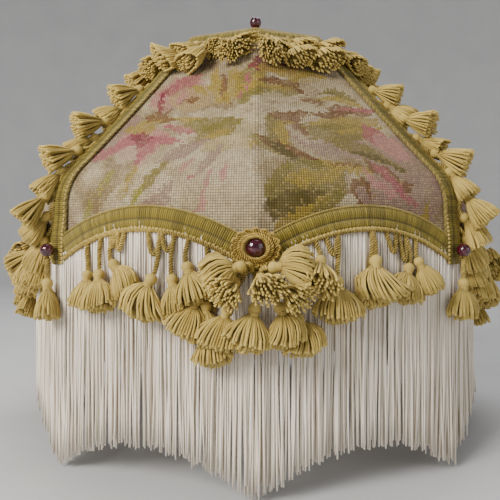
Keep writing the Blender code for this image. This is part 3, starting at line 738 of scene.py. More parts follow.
# Design of the tapestry, on one panel: millimetres from the panel's middle and up from its lower edge.
# colour, across, up, angle, half length, half width, bend, fullness
DESIGN = (
    ("mauve", 118, 66, 60, 52, 34, 0.0, 1.8),
    ("mauve", -112, 104, 62, 34, 12, 0.0, 1.6),
    ("mauve", 55, 96, -20, 40, 16, 0.0, 1.6),
    ("blush", -66, 158, 40, 28, 17, 0.0, 1.7),
    ("rose", -62, 166, 35, 22, 9, 0.1, 1.5),
    ("burgundy", -77, 149, 78, 15, 2.6, -0.1, 1.3),
    ("sand", -52, 148, 20, 20, 17, 0.0, 1.9),
    ("blush", -60, 152, 80, 12, 4, 0.2, 1.4),
    ("mustard", -45, 158, 120, 11, 4, 0.1, 1.4),
    ("sand", -44, 140, 50, 10, 4, 0.2, 1.4),
    ("brown", -52, 147, 0, 4.6, 4.0, 0.0, 2.0),
    ("brown", -60, 146, 30, 3, 1.6, 0.0, 1.8),
    ("olive", -4, 162, 80, 30, 11, 0.1, 1.5),
    ("mustard", -32, 160, 96, 25, 5.5, -0.2, 1.4),
    ("brown", -25, 156, 98, 20, 2.6, -0.2, 1.3),
    ("mustard", -16, 162, 84, 25, 6.0, 0.15, 1.4),
    ("rose", -7, 158, 70, 19, 2.6, 0.2, 1.3),
    ("mustard", 1, 164, 62, 22, 4.0, 0.2, 1.4),
    ("burgundy", 15, 183, -2, 22, 6.5, 0.0, 1.6),
    ("burgundy", 6, 194, 40, 10, 5, 0.0, 1.6),
    ("mustard", 30, 178, -4, 30, 7.0, 0.1, 1.5),
    ("olive", 18, 150, 14, 30, 5.5, 0.25, 1.4),
    ("mustard", 22, 158, 16, 28, 4.0, 0.25, 1.4),
    ("brown", 28, 164, 6, 26, 5.5, 0.2, 1.4),
    ("brown", 42, 158, -20, 12, 6.5, 0.0, 1.6),
    ("mustard", 44, 170, 12, 18, 4.0, 0.2, 1.4),
    ("cream", 66, 158, -18, 34, 16, 0.0, 1.7),
    ("cream", 36, 138, -12, 32, 9, 0.1, 1.5),
    ("brown", 46, 142, -14, 11, 3.0, 0.1, 1.3),
    ("olive", 70, 158, -14, 20, 3.2, -0.5, 1.3),
    ("mustard", 72, 150, -10, 22, 4.2, -0.5, 1.4),
    ("brown", 74, 141, -8, 16, 2.4, -0.5, 1.3),
    ("cream", -10, 124, 4, 42, 8.5, 0.15, 1.5),
    ("cream", 36, 112, -50, 22, 15, 0.0, 1.7),
    ("mustard", -60, 120, -8, 22, 2.8, 0.1, 1.4),
    ("olive", -34, 112, 6, 22, 8, 0.1, 1.5),
    ("rose", -58, 108, -22, 18, 3.2, 0.1, 1.3),
    ("blush", -90, 96, 10, 24, 18, 0.0, 1.8),
    ("cream", -96, 84, 20, 14, 9, 0.0, 1.7),
    ("mustard", -86, 116, 60, 13, 7.5, 0.1, 1.4),
    ("mustard", -97, 112, 150, 9, 4.0, 0.1, 1.4),
    ("brown", -79, 129, 20, 12, 5.0, 0.1, 1.5),
    ("brown", -70, 122, -30, 9, 3.0, 0.1, 1.4),
    ("rose", -108, 92, 38, 24, 6.5, 0.1, 1.4),
    ("rose", -82, 84, 75, 17, 6.5, 0.1, 1.4),
    ("rose", -70, 96, -18, 17, 6.0, 0.1, 1.4),
    ("burgundy", -88, 99, 80, 10.5, 6.8, 0.0, 1.6),
    ("burgundy", -94, 104, 20, 6, 3.4, 0.0, 1.6),
    ("olive", -22, 100, 30, 26, 16, 0.0, 1.7),
    ("mustard", -26, 94, 20, 17, 10, 0.0, 1.7),
    ("olive", -12, 106, 70, 14, 4, 0.2, 1.4),
    ("mustard", -10, 90, -35, 13, 5, 0.2, 1.4),
    ("cream", -4, 106, 62, 22, 10, 0.1, 1.6),
    ("brown", 26, 121, 14, 16, 6.5, 0.2, 1.5),
    ("brown", 30, 110, -48, 13, 5.0, 0.1, 1.5),
    ("mustard", 22, 113, 30, 7, 3, 0.1, 1.4),
    ("olive", 15, 100, 100, 19, 7.5, 0.1, 1.6),
    ("mustard", 20, 100, 96, 16, 4.5, 0.1, 1.4),
    ("brown", 64, 128, 12, 20, 5.5, 0.2, 1.4),
    ("brown", 78, 132, -4, 20, 5.0, 0.15, 1.4),
    ("rose", 84, 136, 2, 18, 3.0, 0.15, 1.3),
    ("mustard", 74, 118, 8, 34, 7.0, 0.15, 1.5),
    ("olive", 66, 106, -2, 34, 9.0, 0.15, 1.5),
    ("mustard", 84, 110, 14, 26, 3.6, 0.15, 1.4),
    ("rose", 98, 102, -50, 20, 9.0, 0.0, 1.6),
    ("blush", 108, 92, -50, 22, 9.0, 0.0, 1.6),
    ("olive", 78, 88, -26, 42, 6.5, -0.15, 1.5),
    ("dark", 92, 78, -28, 24, 3.0, -0.15, 1.4),
    ("olive", 10, 86, -32, 22, 5.0, 0.2, 1.4),
    ("brown", 20, 84, -26, 26, 3.6, 0.15, 1.4),
    ("dark", 30, 74, -34, 34, 3.4, 0.15, 1.4),
    ("brown", 46, 72, -20, 20, 3.0, 0.1, 1.4),
    ("olive", 34, 52, 20, 30, 22, 0.0, 1.8),
    ("dark", 24, 40, 8, 22, 10, 0.1, 1.6),
    ("mustard", 44, 60, 14, 24, 6.0, 0.1, 1.5),
    ("mustard", 30, 34, 26, 22, 5.5, 0.1, 1.5),
    ("olive", 48, 40, 30, 20, 6.0, 0.1, 1.5),
    ("mustard", 66, 66, -10, 26, 5.0, 0.2, 1.4),
    ("brown", 64, 68, -4, 13, 2.4, 0.2, 1.3),
    ("brown", 94, 62, -34, 24, 4.6, 0.25, 1.4),
    ("rose", 100, 54, -40, 24, 3.6, 0.25, 1.3),
    ("blush", 86, 54, -38, 18, 3.0, 0.25, 1.3),
    ("brown", 73, 49, 10, 9.5, 8.5, 0.0, 2.0),
    ("mauve", 74, 48, 10, 7.0, 6.0, 0.0, 2.0),
    ("brown", 78, 50, 60, 3.4, 2.6, 0.0, 1.8),
    ("mustard", 122, 30, 35, 17, 3.4, 0.4, 1.4),
    ("olive", 128, 20, -20, 13, 3.2, 0.4, 1.4),
    ("cream", -34, 58, 60, 44, 30, 0.0, 1.9),
    ("cream", -16, 40, 86, 40, 20, 0.0, 1.8),
    ("cream", -62, 78, 20, 28, 12, 0.0, 1.7),
    ("olive", -70, 62, 58, 20, 3.4, 0.2, 1.3),
    ("mauve", -52, 84, 30, 22, 5.0, 0.1, 1.5),
    ("mauve", -30, 76, 64, 18, 4.0, 0.2, 1.4),
    ("mauve", -72, 36, 40, 22, 7.0, 0.1, 1.6),
    ("blush", -48, 68, 50, 10, 2.2, 0.1, 1.2),
    ("blush", -32, 56, 68, 12, 2.0, 0.1, 1.2),
    ("blush", -20, 62, 80, 9, 2.0, 0.1, 1.2),
    ("blush", -36, 40, 72, 10, 1.8, 0.1, 1.2),
    ("rose", -44, 60, 40, 4, 1.4, 0.0, 1.4),
    ("mustard", -92, 58, 64, 16, 4.0, 0.15, 1.3),
    ("leaf", -112, 58, 70, 12, 3.4, -0.15, 1.3),
    ("leaf", -84, 46, 50, 13, 3.0, 0.15, 1.3),
    ("leaf", -124, 36, 76, 10, 3.0, 0.1, 1.3),
    ("cream", -104, 40, 60, 22, 6.0, 0.0, 1.6),
)

# Tassels of one face: millimetres across from the middle rib, up from the hem's low points, and out from the wires.
# head: across, up, out; foot: across, up, out; kind; size
HEM_TASSELS = (
    ((-106, -5, 9), (-103, -28, 15), 0, 1.0),
    ((-118, -6, 7), (-117, -26, 11), 1, 0.92),
    ((-97, 1, 8), (-78, -20, 12), 2, 0.98),
    ((-63, -7, 10), (-73, -29, 17), 3, 1.04),
    ((-52, -7, 8), (-47, -27, 12), 4, 0.94),
    ((-42, 1, 8), (-34, -20, 13), 1, 0.98),
    ((-3, 0, 16), (-22, -6, 24), 3, 0.98),
    ((5, -2, 15), (23, 1, 23), 2, 0.98),
    ((1, -7, 12), (2, -13, 34), 5, 0.90),
    ((-9, -10, 12), (-12, -16, 32), 5, 0.84),
    ((14, -12, 11), (21, -20, 31), 5, 0.82),
    ((-33, -20, 11), (-40, -43, 19), 0, 0.96),
    ((-29, -23, 9), (-27, -45, 14), 4, 1.0),
    ((-13, -25, 15), (-19, -49, 23), 0, 0.98),
    ((0, -23, 16), (-1, -46, 27), 1, 1.04),
    ((11, -23, 14), (18, -46, 22), 2, 1.0),
    ((23, -31, 10), (32, -51, 18), 2, 0.94),
    ((-26, -37, 8), (-23, -57, 14), 1, 0.94),
    ((39, 4, 8), (33, -11, 27), 5, 0.98),
    ((50, -8, 9), (48, -30, 16), 0, 1.04),
    ((78, 5, 8), (74, -17, 14), 3, 1.08),
    ((76, -4, 5), (76, -22, 7), 1, 0.9),
    ((105, -1, 8), (96, -22, 13), 0, 0.96),
    ((110, 3, 9), (119, -19, 14), 4, 0.94),
)
# Tassels beside one seam, on its side face: beside the rib, up and out
SEAM_TASSELS = (
    ((9, 134, 6), (15, 116, 19), 5, 0.94),
    ((10, 120, 7), (22, 101, 14), 0, 0.96),
    ((9, 104, 8), (12, 86, 24), 5, 1.0),
    ((10, 92, 6), (24, 74, 14), 2, 0.98),
    ((9, 77, 8), (13, 58, 24), 5, 1.02),
    ((10, 64, 7), (20, 42, 16), 0, 1.02),
    ((9, 48, 9), (12, 29, 25), 5, 1.0),
    ((10, 33, 7), (24, 14, 17), 2, 1.0),
    ((13, 16, 8), (23, -3, 13), 0, 1.0),
    ((19, 5, 7), (28, -16, 11), 4, 0.98),
    ((27, 3, 7), (42, -15, 10), 1, 0.94),
)
# Ring of tassels at the top, one bay: share across it, and the head's and foot's drop and out
TOP_TASSELS = (
    (0.20, (2, 6), (27, 12), 2, 0.92),
    (0.52, (1, 6), (25, 14), 5, 0.86),
    (0.80, (2, 6), (26, 12), 3, 0.94),
    (0.10, (13, 9), (40, 15), 5, 0.94),
    (0.42, (14, 9), (42, 14), 5, 0.98),
    (0.74, (13, 9), (40, 16), 5, 0.94),
)


# Sizes and colours

def length_of(label, about, default):
    return bpy.props.FloatProperty(name=label, description=about, default=default, min=0.0, unit="LENGTH", subtype="DISTANCE")


def colour_of(label, about, red, green, blue):
    linear = [(c / 255 / 12.92 if c <= 10 else ((c / 255 + 0.055) / 1.055) ** 2.4) for c in (red, green, blue)]
    return bpy.props.FloatVectorProperty(
        name=label, description=about, default=linear, min=0.0, max=1.0, size=3, subtype="COLOR"
    )


class ShadeSizes(bpy.types.PropertyGroup):
    stitch: length_of("Stitch", "One square stitch of the tapestry canvas", 0.0017)
    braid_pitch: length_of("Braid rib", "One rib of the gimp braid to the next", 0.0014)
    strand_spacing: length_of("Strand spacing", "One fringe strand to the next in a row", 0.0018)
    strand_thickness: length_of("Strand thickness", "Diameter of a fringe strand", 0.0014)
    strand_uneven: length_of("Uneven ends", "How far a strand's cut end may stand above or below its neighbours'", 0.0035)
    yarn_thickness: length_of("Yarn thickness", "Diameter of a tassel's yarns", 0.0015)
    tassel_width: length_of("Tassel width", "Width of a tassel's skirt at its foot", 0.033)
    tassel_length: length_of("Tassel length", "Length of a tassel's skirt below its head", 0.0205)
    head_width: length_of("Head width", "Width of the knob that a tassel hangs from", 0.0078)
    ply: length_of("Cord ply", "Diameter of one ply of a tassel's cord", 0.0018)
    yarns: bpy.props.IntProperty(name="Yarns", description="Yarns in a tassel's skirt", default=78, min=8, max=120)


class ShadeColours(bpy.types.PropertyGroup):
    ground: colour_of("Ground", "Unworked ground of the tapestry", 134, 114, 78)
    cream: colour_of("Cream", "Cream petals of the tapestry", 194, 178, 144)
    sand: colour_of("Sand", "Sand-coloured petals", 168, 142, 98)
    mauve: colour_of("Mauve", "Mauve-grey shading of the ground", 146, 118, 104)
    blush: colour_of("Blush", "Pale pink petals", 180, 124, 116)
    rose: colour_of("Rose", "Dusty pink petals", 162, 82, 92)
    burgundy: colour_of("Burgundy", "Hearts of the flowers", 116, 18, 52)
    brown: colour_of("Brown", "Stems and scrolls", 104, 64, 28)
    mustard: colour_of("Mustard", "Mustard leaves", 156, 132, 48)
    olive: colour_of("Olive", "Olive leaves", 116, 104, 38)
    leaf: colour_of("Leaf", "Yellow-green sprigs", 144, 136, 56)
    dark: colour_of("Dark olive", "Outlines of the leaves", 82, 72, 26)
    tassel_light: colour_of("Tassel, light", "Tassel yarn where it is clean", 216, 190, 108)
    tassel_dark: colour_of("Tassel, dark", "Tassel yarn where it is darkest", 132, 108, 40)
    fringe_light: colour_of("Fringe, light", "Fringe strands where they are cleanest", 250, 242, 228)
    fringe_dark: colour_of("Fringe, dark", "Fringe strands where they have yellowed", 214, 200, 180)
    gimp_light: colour_of("Gimp, light", "Gimp braid's raised thread", 166, 146, 54)
    gimp_dark: colour_of("Gimp, dark", "Gimp braid's hollows", 84, 72, 18)
    gold_light: colour_of("Gold cord, light", "Jewel settings' cord", 224, 194, 104)
    gold_dark: colour_of("Gold cord, dark", "Jewel settings' cord in its hollows", 126, 98, 34)
    garnet: colour_of("Garnet", "Glass of the beads and jewels", 78, 6, 34)
    lining: colour_of("Lining", "Lining cloth", 222, 208, 178)
    brass: colour_of("Brass", "Spider fitter", 190, 150, 82)
    tape: colour_of("Wire tape", "Cotton tape bound round the wires", 212, 198, 164)


def sizes():
    return bpy.context.scene.lamp_shade_sizes


def colours():
    return bpy.context.scene.lamp_shade_colours


def finish(name, build):
    made = name + "_finish"
    return bpy.data.materials.get(made) or build(made)


def tapestry_finish(name):
    material, tree, shader = new_finish(name, 0.92, Sheen_Weight=0.04, Sheen_Roughness=0.5, Specular_IOR_Level=0.15)
    tint = colours()
    cloth = add(tree, "ShaderNodeUVMap", uv_map="cloth").outputs[0]
    canvas = use(tree, bpy.data.node_groups.get("canvas_stitch") or canvas_group(), {"Cloth": cloth, "Pitch": sizes().stitch})
    stitch = canvas["Stitch"]
    wander = vector_maths(tree, "SUBTRACT", noise(tree, 55.0, 3.0, stitch, out=1), (0.5, 0.5, 0.5))
    ragged = vector_maths(tree, "SUBTRACT", noise(tree, 330.0, 1.0, stitch, out=1), (0.5, 0.5, 0.5))
    moved = add(tree, "ShaderNodeVectorMath", {0: wander, 3: 0.016}, operation="SCALE").outputs[0]
    torn = add(tree, "ShaderNodeVectorMath", {0: ragged, 3: 0.007}, operation="SCALE").outputs[0]
    place = vector_maths(tree, "ADD", vector_maths(tree, "ADD", stitch, moved), torn)
    group = bpy.data.node_groups.get("stitched_petal") or petal_group()
    drift = spread(tree, noise(tree, 34.0, 4.0, stitch, 0.6), 0.4, 0.62)
    full = spread(tree, noise(tree, 75.0, 3.0, stitch, 0.6), 0.34, 0.6, 1.0, 0.68)
    thin = maths(tree, "MULTIPLY", full, 0.62)
    worn = spread(tree, noise(tree, 60.0, 4.0, stitch, 0.65), 0.5, 0.68, 0.0, 0.6)
    colour = blend_colour(tree, worn, blend_colour(tree, drift, tint.ground, tint.cream), tint.mauve)
    for key, x, y, angle, half_length, half_width, bend, fullness in DESIGN:
        mask = use(
            tree,
            group,
            {
                "Cloth": place,
                "Middle": (x / 1000, y / 1000, 0),
                "Along": (math.cos(math.radians(angle)), math.sin(math.radians(angle)), 0),
                "Half length": half_length / 1000,
                "Half width": half_width / 1000,
                "Bend": bend,
                "Fullness": fullness,
            },
        )["Mask"]
        colour = blend_colour(tree, maths(tree, "MULTIPLY", mask, thin if key == "cream" else full), colour, getattr(tint, key))
    faded = blend_colour(tree, spread(tree, noise(tree, 90.0, 2.0, stitch), 0.5, 0.72, 0.0, 0.3), colour, tint.ground)
    stray = maths(tree, "MULTIPLY", maths(tree, "GREATER_THAN", canvas["Chance"], 0.9), 0.35)
    mottled = blend_colour(tree, stray, faded, tint.sand)
    bright = spread(tree, canvas["Chance"], 0.0, 1.0, 0.74, 1.14)
    varied = blend_colour(tree, 1.0, mottled, add(tree, "ShaderNodeCombineColor", {0: bright, 1: bright, 2: bright}).outputs[0], "MULTIPLY")
    # Painted shade in the low gaps between the stitches.
    stitch_gap_shade = blend_colour(tree, maths(tree, "MULTIPLY", canvas["Gap"], 0.7), varied, [c * 0.22 for c in tint.sand])
    dust_and_shade = use(tree, bpy.data.node_groups.get("dust_and_hollow_shade") or dust_and_hollow_shade_group(), {"Colour": stitch_gap_shade, "Dust_and_shade": (0.24, 0.19, 0.12), "Amount": 0.22})
    tree.links.new(dust_and_shade["Colour"], shader.inputs["Base Color"])
    fuzz = noise(tree, 1500.0, 2.0, cloth)
    height = maths(tree, "ADD", canvas["Height"], maths(tree, "MULTIPLY", fuzz, 0.25))
    join_height(tree, shader, height, 0.0007)
    return material


def yarn_finish(name, light, dark, roughness=0.7, fibres=2600.0, patches=70.0, tip=None, dust_and_shade_amount=0.15, **constants):
    """Spun yarn in two tones, with the cut tips in a third, and painted shade where the points' shade value is high."""
    constants = {"Sheen_Weight": 0.06, "Sheen_Roughness": 0.4, "Specular_IOR_Level": 0.3, **constants}
    material, tree, shader = new_finish(name, roughness, **constants)
    thread = use(
        tree,
        bpy.data.node_groups.get("spun_thread") or thread_group(),
        {"Light": light, "Dark": dark, "Tone": value_of(tree, "tone"), "Fibres": fibres, "Patches": patches},
    )
    colour = thread["Colour"]
    if tip is not None:
        colour = blend_colour(tree, spread(tree, value_of(tree, "along"), 0.9, 1.0, 0.0, 0.6), colour, tip)
        # Painted shade: darker where the points' shade value is high, deep in a tassel and near its knob.
        root = maths(tree, "MULTIPLY", value_of(tree, "shade"), 0.85)
        colour = blend_colour(tree, root, colour, [c * 0.3 for c in dark])
    dust_and_shade = use(
        tree, bpy.data.node_groups.get("dust_and_hollow_shade") or dust_and_hollow_shade_group(), {"Colour": colour, "Dust_and_shade": [c * 0.5 for c in dark], "Amount": dust_and_shade_amount}
    )
    tree.links.new(dust_and_shade["Colour"], shader.inputs["Base Color"])
    join_height(tree, shader, thread["Height"], 0.00015)
    return material


def tassel_finish(name):
    tint = colours()
    return yarn_finish(name, tint.tassel_light, tint.tassel_dark, tip=[min(1, c * 1.12) for c in tint.tassel_light])


def cord_finish(name):
    tint = colours()
    # A high amount: dust in patches, and heavy painted shade in the grooves between the plies.
    return yarn_finish(name, tint.tassel_light, tint.tassel_dark, roughness=0.6, dust_and_shade_amount=0.7)


def fringe_finish(name):
    tint = colours()
    return yarn_finish(name, tint.fringe_light, tint.fringe_dark, roughness=0.5, fibres=1800.0, patches=22.0, dust_and_shade_amount=0.08)


def gimp_finish(name):
    tint = colours()
    material, tree, shader = new_finish(name, 0.5, Sheen_Weight=0.08, Sheen_Roughness=0.35, Specular_IOR_Level=0.4)
    thread = use(
        tree,
        bpy.data.node_groups.get("spun_thread") or thread_group(),
        {"Light": tint.gimp_light, "Dark": tint.gimp_dark, "Tone": value_of(tree, "tone"), "Fibres": 2200.0, "Patches": 45.0},
    )
    edge = value_of(tree, "edge")
    colour = blend_colour(tree, edge, thread["Colour"], [c * 0.85 for c in tint.tassel_light])
    colour = blend_colour(tree, maths(tree, "MULTIPLY", value_of(tree, "shade"), 0.8), colour, [c * 0.25 for c in tint.gimp_dark])
    dust_and_shade = use(
        tree,
        bpy.data.node_groups.get("dust_and_hollow_shade") or dust_and_hollow_shade_group(),
        {"Colour": colour, "Dust_and_shade": [c * 0.6 for c in tint.gimp_dark], "Amount": 0.25},
    )
    tree.links.new(dust_and_shade["Colour"], shader.inputs["Base Color"])
    join_height(tree, shader, thread["Height"], 0.0002)
    return material


def gold_finish(name):
    tint = colours()
    return yarn_finish(name, tint.gold_light, tint.gold_dark, roughness=0.4, patches=160.0, Metallic=0.2, Sheen_Weight=0.1)


def glass_finish(name):
    tint = colours()
    material, tree, shader = new_finish(
        name, 0.06, Transmission_Weight=0.55, IOR=1.52, Coat_Weight=0.6, Coat_Roughness=0.03, Specular_IOR_Level=0.6
    )
    cloudy = spread(tree, noise(tree, 260.0, 3.0), 0.35, 0.7)
    colour = blend_colour(tree, cloudy, [c * 0.55 for c in tint.garnet], [min(1, c * 1.9) for c in tint.garnet])
    tree.links.new(colour, shader.inputs["Base Color"])
    tree.links.new(spread(tree, noise(tree, 900.0, 2.0), 0.3, 0.8, 0.03, 0.16), shader.inputs["Roughness"])
    join_height(tree, shader, noise(tree, 420.0, 2.0), 0.00008)
    return material


def lining_finish(name):
    material, tree, shader = new_finish(name, 0.62, Sheen_Weight=0.3, Sheen_Roughness=0.4, Specular_IOR_Level=0.35)
    tint = colours()
    cloth = add(tree, "ShaderNodeUVMap", uv_map="cloth").outputs[0]
    canvas = use(tree, bpy.data.node_groups.get("canvas_stitch") or canvas_group(), {"Cloth": cloth, "Pitch": 0.0006})
    aged = spread(tree, noise(tree, 14.0, 5.0, rough=0.65), 0.4, 0.7)
    colour = blend_colour(tree, aged, tint.lining, [c * 0.72 for c in tint.lining])
    slub = noise(tree, 260.0, 2.0, vector_maths(tree, "MULTIPLY", cloth, (0.12, 1.0, 1.0)))
    colour = blend_colour(tree, spread(tree, slub, 0.45, 0.7, 0.0, 0.35), colour, [c * 0.8 for c in tint.lining])
    dust_and_shade = use(tree, bpy.data.node_groups.get("dust_and_hollow_shade") or dust_and_hollow_shade_group(), {"Colour": colour, "Dust_and_shade": (0.3, 0.22, 0.12), "Amount": 0.3})
    tree.links.new(dust_and_shade["Colour"], shader.inputs["Base Color"])
    join_height(tree, shader, maths(tree, "ADD", canvas["Height"], slub), 0.00025)
    return material


def brass_finish(name):
    material, tree, shader = new_finish(name, 0.35, Metallic=1.0)
    tint = colours()
    tarnish = spread(tree, noise(tree, 120.0, 5.0, rough=0.65), 0.42, 0.66)
    colour = blend_colour(tree, tarnish, tint.brass, [c * 0.4 for c in tint.brass])
    tree.links.new(colour, shader.inputs["Base Color"])
    tree.links.new(spread(tree, tarnish, 0.0, 1.0, 0.22, 0.55), shader.inputs["Roughness"])
    join_height(tree, shader, noise(tree, 700.0, 3.0), 0.00006)
    return material


def tape_finish(name):
    """Cotton tape wound round a wire, in overlapping turns."""
    material, tree, shader = new_finish(name, 0.85, Sheen_Weight=0.3)
    tint = colours()
    place = add(tree, "ShaderNodeTexCoord").outputs["Object"]
    wound = add(tree, "ShaderNodeTexWave", {"Vector": place, "Scale": 90.0, "Distortion": 1.5, "Detail": 2.0}, bands_direction="DIAGONAL")
    colour = blend_colour(tree, spread(tree, wound.outputs["Fac"], 0.0, 0.35, 0.7, 0.0), tint.tape, [c * 0.4 for c in tint.tape])
    weave = noise(tree, 2400.0, 2.0)
    dust_and_shade = use(tree, bpy.data.node_groups.get("dust_and_hollow_shade") or dust_and_hollow_shade_group(), {"Colour": colour, "Dust_and_shade": (0.25, 0.18, 0.1), "Amount": 0.35})
    tree.links.new(dust_and_shade["Colour"], shader.inputs["Base Color"])
    join_height(tree, shader, maths(tree, "ADD", wound.outputs["Fac"], maths(tree, "MULTIPLY", weave, 0.3)), 0.0003)
    return material


# Cloth

def panel_mesh(name, seed, mirror):
    """One tapestry panel over two bays: rows rise over the arches, and the cloth creases over the middle rib."""
    columns, rows = 120, 84
    run, height = slope_table(-HEM_TURN, CLOTH_TOP)
    rng = np.random.default_rng(seed)
    u, v = np.meshgrid(np.linspace(-1, 1, columns + 1), np.linspace(0, 1, rows + 1))
    low = np.interp(v * run[-1], run, height)
    z = low + arch(np.abs(u)) * (CLOTH_TOP - low) / (CLOTH_TOP + HEM_TURN)
    w = u * (bay_width(z) - GAP)
    waves = sum(
        np.sin(w * a + z * b + c) * 0.00006 for a, b, c in zip(rng.uniform(-160, 160, 9), rng.uniform(-160, 160, 9), rng.uniform(0, 6, 9))
    )
    near_edge = np.clip((z - arch(np.abs(u))) / 0.03, 0, 1) * np.clip((CLOTH_TOP - z) / 0.03, 0, 1)
    points = on_shade(0, w, z, COVER_OUT + np.abs(waves) * near_edge, soft=0.002)
    up = np.interp(z, height, run)
    uv = np.stack([(-w if mirror else w), up], -1)
    return new_mesh(name, points.reshape(-1, 3), grid_faces(columns, rows), uv=uv.reshape(-1, 2))


def thicken(obj, thickness, offset=1.0):
    shell = obj.modifiers.new("thickness", "SOLIDIFY")
    shell.thickness = thickness
    shell.offset = offset
    shell.use_even_offset = True
    return obj


def lining_mesh(name):
    columns, rows = 24 * BAYS, 56
    run, height = slope_table(-0.0005, CLOTH_TOP)
    u, v = np.meshgrid(np.arange(columns) / 24, np.linspace(0, 1, rows + 1))
    bay, s = np.floor(u), u % 1
    low = np.interp(v * run[-1], run, height)
    z = low + arch(s) * (CLOTH_TOP - low) / (CLOTH_TOP + HEM_TURN)
    pull = 0.0009 * np.sin(math.pi * s) ** 2 * np.sin(math.pi * v) + 0.00025 * np.sin(s * 2 * math.pi * 6 + bay) * (1 - v) ** 2
    points = on_shade(0, (bay + s) * bay_width(z), z, -COVER_OUT - 2 * GAP - 0.0005 - pull)
    uv = np.stack([u * 0.15, v * run[-1]], -1)
    return new_mesh(name, points.reshape(-1, 3), grid_faces(columns, rows, wrap=True), uv=uv.reshape(-1, 2))


# Fringe

def hem_line(out, count, low, margin=0.0006):
    """Points along a face's hem, from one seam to the next, low metres above its lower edge."""
    reach = float(bay_width(0)) - margin
    w = np.linspace(-reach, reach, count)
    s = np.abs(w) / float(bay_width(0))
    return on_shade(0, w, arch(np.minimum(s, 1)) - HEM_TURN + low, out)


def strand_mesh(name, seed):
    """A loosely waved strand one unit long and one unit thick, that hangs down from the origin."""
    rng = random.Random(seed)
    steps = 8
    t = np.linspace(0, 1, steps)
    bow, wave, phase = rng.uniform(-0.5, 0.5), rng.uniform(0.3, 0.7), rng.uniform(0, 6)
    path = np.stack([bow * t * t + wave * np.sin(phase + t * 7) * t, wave * np.cos(phase + t * 6) * t, -t], -1)
    radius = np.full(steps, 0.5)
    radius[-1] = 0.42
    angle = np.arange(5) * 2 * math.pi / 5
    ring = np.stack([np.cos(angle), np.sin(angle), np.zeros(5)], -1)
    points = (path[:, None] + ring[None] * radius[:, None, None]).reshape(-1, 3)
    faces = [f[::-1] for f in grid_faces(5, steps - 1, wrap=True).tolist()]
    faces += [list(range(5)), [(steps - 1) * 5 + k for k in range(5)][::-1]]
    return new_mesh(name, points, faces)


def header_parts(out, thickness, height):
    """Woven band that the strands hang from."""
    count = 121
    front = [hem_line(out + d, count, h) for d, h in ((0, 0.0), (0, height), (thickness, height), (thickness, 0.0))]
    points = np.concatenate(front)
    faces = []
    for k in range(4):
        a, b = k * count, ((k + 1) % 4) * count
        faces.extend((a + i, a + i + 1, b + i + 1, b + i) for i in range(count - 1))
    faces.append([k * count for k in range(4)])
    faces.append([k * count + count - 1 for k in range(4)][::-1])
    return points, faces


# Gimp braid

def rib_unit(pitch, width):
    """One rib of the braid: a wide and a narrow raised band with a sunk thread between."""
    across = [-0.5, -0.42, -0.34, -0.20, -0.13, -0.09, 0.0, 0.15, 0.33, 0.44, 0.5]
    rise = [0.5, 0.85, 1.35, 1.35, 0.9, 0.45, 1.2, 1.75, 1.75, 1.15, 0.55]
    shade = [0.3, 0.1, 0, 0, 0.4, 1.0, 0.1, 0, 0, 0.1, 0.4]
    along = [-0.62, -0.32, 0.0, 0.32, 0.62]
    swell = [0.22, 0.82, 1.0, 0.82, 0.22]
    parts = Parts("edge", "shade")
    points, dark = [], []
    for y, h, d in zip(across, rise, shade):
        for x, k in zip(along, swell):
            points.append((x * pitch, y * width, h * k * 0.001))
            dark.append(min(1, d + (0.95 if k < 0.5 else 0)))
    faces = grid_faces(4, 10).tolist()
    base = len(points)
    for y in (-0.5, 0.5):
        for x in (-0.62, 0.62):
            points.append((x * pitch, y * width, 0))
            dark.append(1)
    a, b, c, d = base, base + 1, base + 2, base + 3
    faces += [
        [a, c, d, b],
        [a, b, 4, 3, 2, 1, 0],
        [d, c, 50, 51, 52, 53, 54],
        [c, a, *[5 * k for k in range(11)]],
        [b, d, *[5 * k + 4 for k in range(10, -1, -1)]],
    ]
    parts.add(points, faces, edge=0, shade=dark)
    return parts.mesh("braid_rib")


def loop_unit(pitch):
    """A little half loop of thread that stands off the braid's edge."""
    angle = np.linspace(-0.1, math.pi + 0.1, 6)
    path = np.stack([np.cos(angle) * pitch * 0.42, np.sin(angle) * pitch * 0.75, 0.0007 + 0.0003 * np.sin(angle)], -1)
    points, faces, _, _ = tube_parts(path[None], pitch * 0.24, 4, [(0, 0, 1)])
    parts = Parts("edge", "shade")
    parts.add(points, faces, edge=0.45, shade=0.0)
    return parts.mesh("braid_loop")


def dash_unit(pitch):
    """A raised slanting stitch of pale thread."""
    t = np.linspace(-1, 1, 6)
    path = np.stack([t * pitch * 0.85, np.zeros(6), 0.0012 - 0.0006 * t * t], -1)
    radius = (1 - t**2 * 0.72) * 0.0010
    points, faces, _, _ = tube_parts(path[None], radius[None], 6, [(0, 0, 1)])
    parts = Parts("edge", "shade")
    parts.add(points, faces, edge=0.95, shade=0.0)
    return parts.mesh("braid_dash")


def straight_braid(name, length, width, seed, closed=False):
    """A straight braid from x = 0 to length, with a whole number of ribs."""
    pitch = sizes().braid_pitch
    count = round(length / pitch / 2) * 2
    pitch = length / count
    meshes = {"rib_unit": rib_unit(pitch, width * 0.94), "loop_unit": loop_unit(pitch), "dash_unit": dash_unit(pitch)}
    units = [new_object(unit, mesh) for unit, mesh in meshes.items()]
    tree = bpy.data.node_groups.get("gimp_braid") or braid_tree()
    guide = new_mesh("braid_line", [(0, 0, 0)], [])
    made = grow(
        name,
        guide,
        tree,
        Rib=units[0],
        Loop=units[1],
        Dash=units[2],
        Count=count,
        Pitch=pitch,
        Width=width,
        Seed=seed,
        Material=finish("gimp_braid", gimp_finish),
    )
    for unit in units:
        mesh = unit.data
        bpy.data.objects.remove(unit)
        bpy.data.meshes.remove(mesh)
    return made


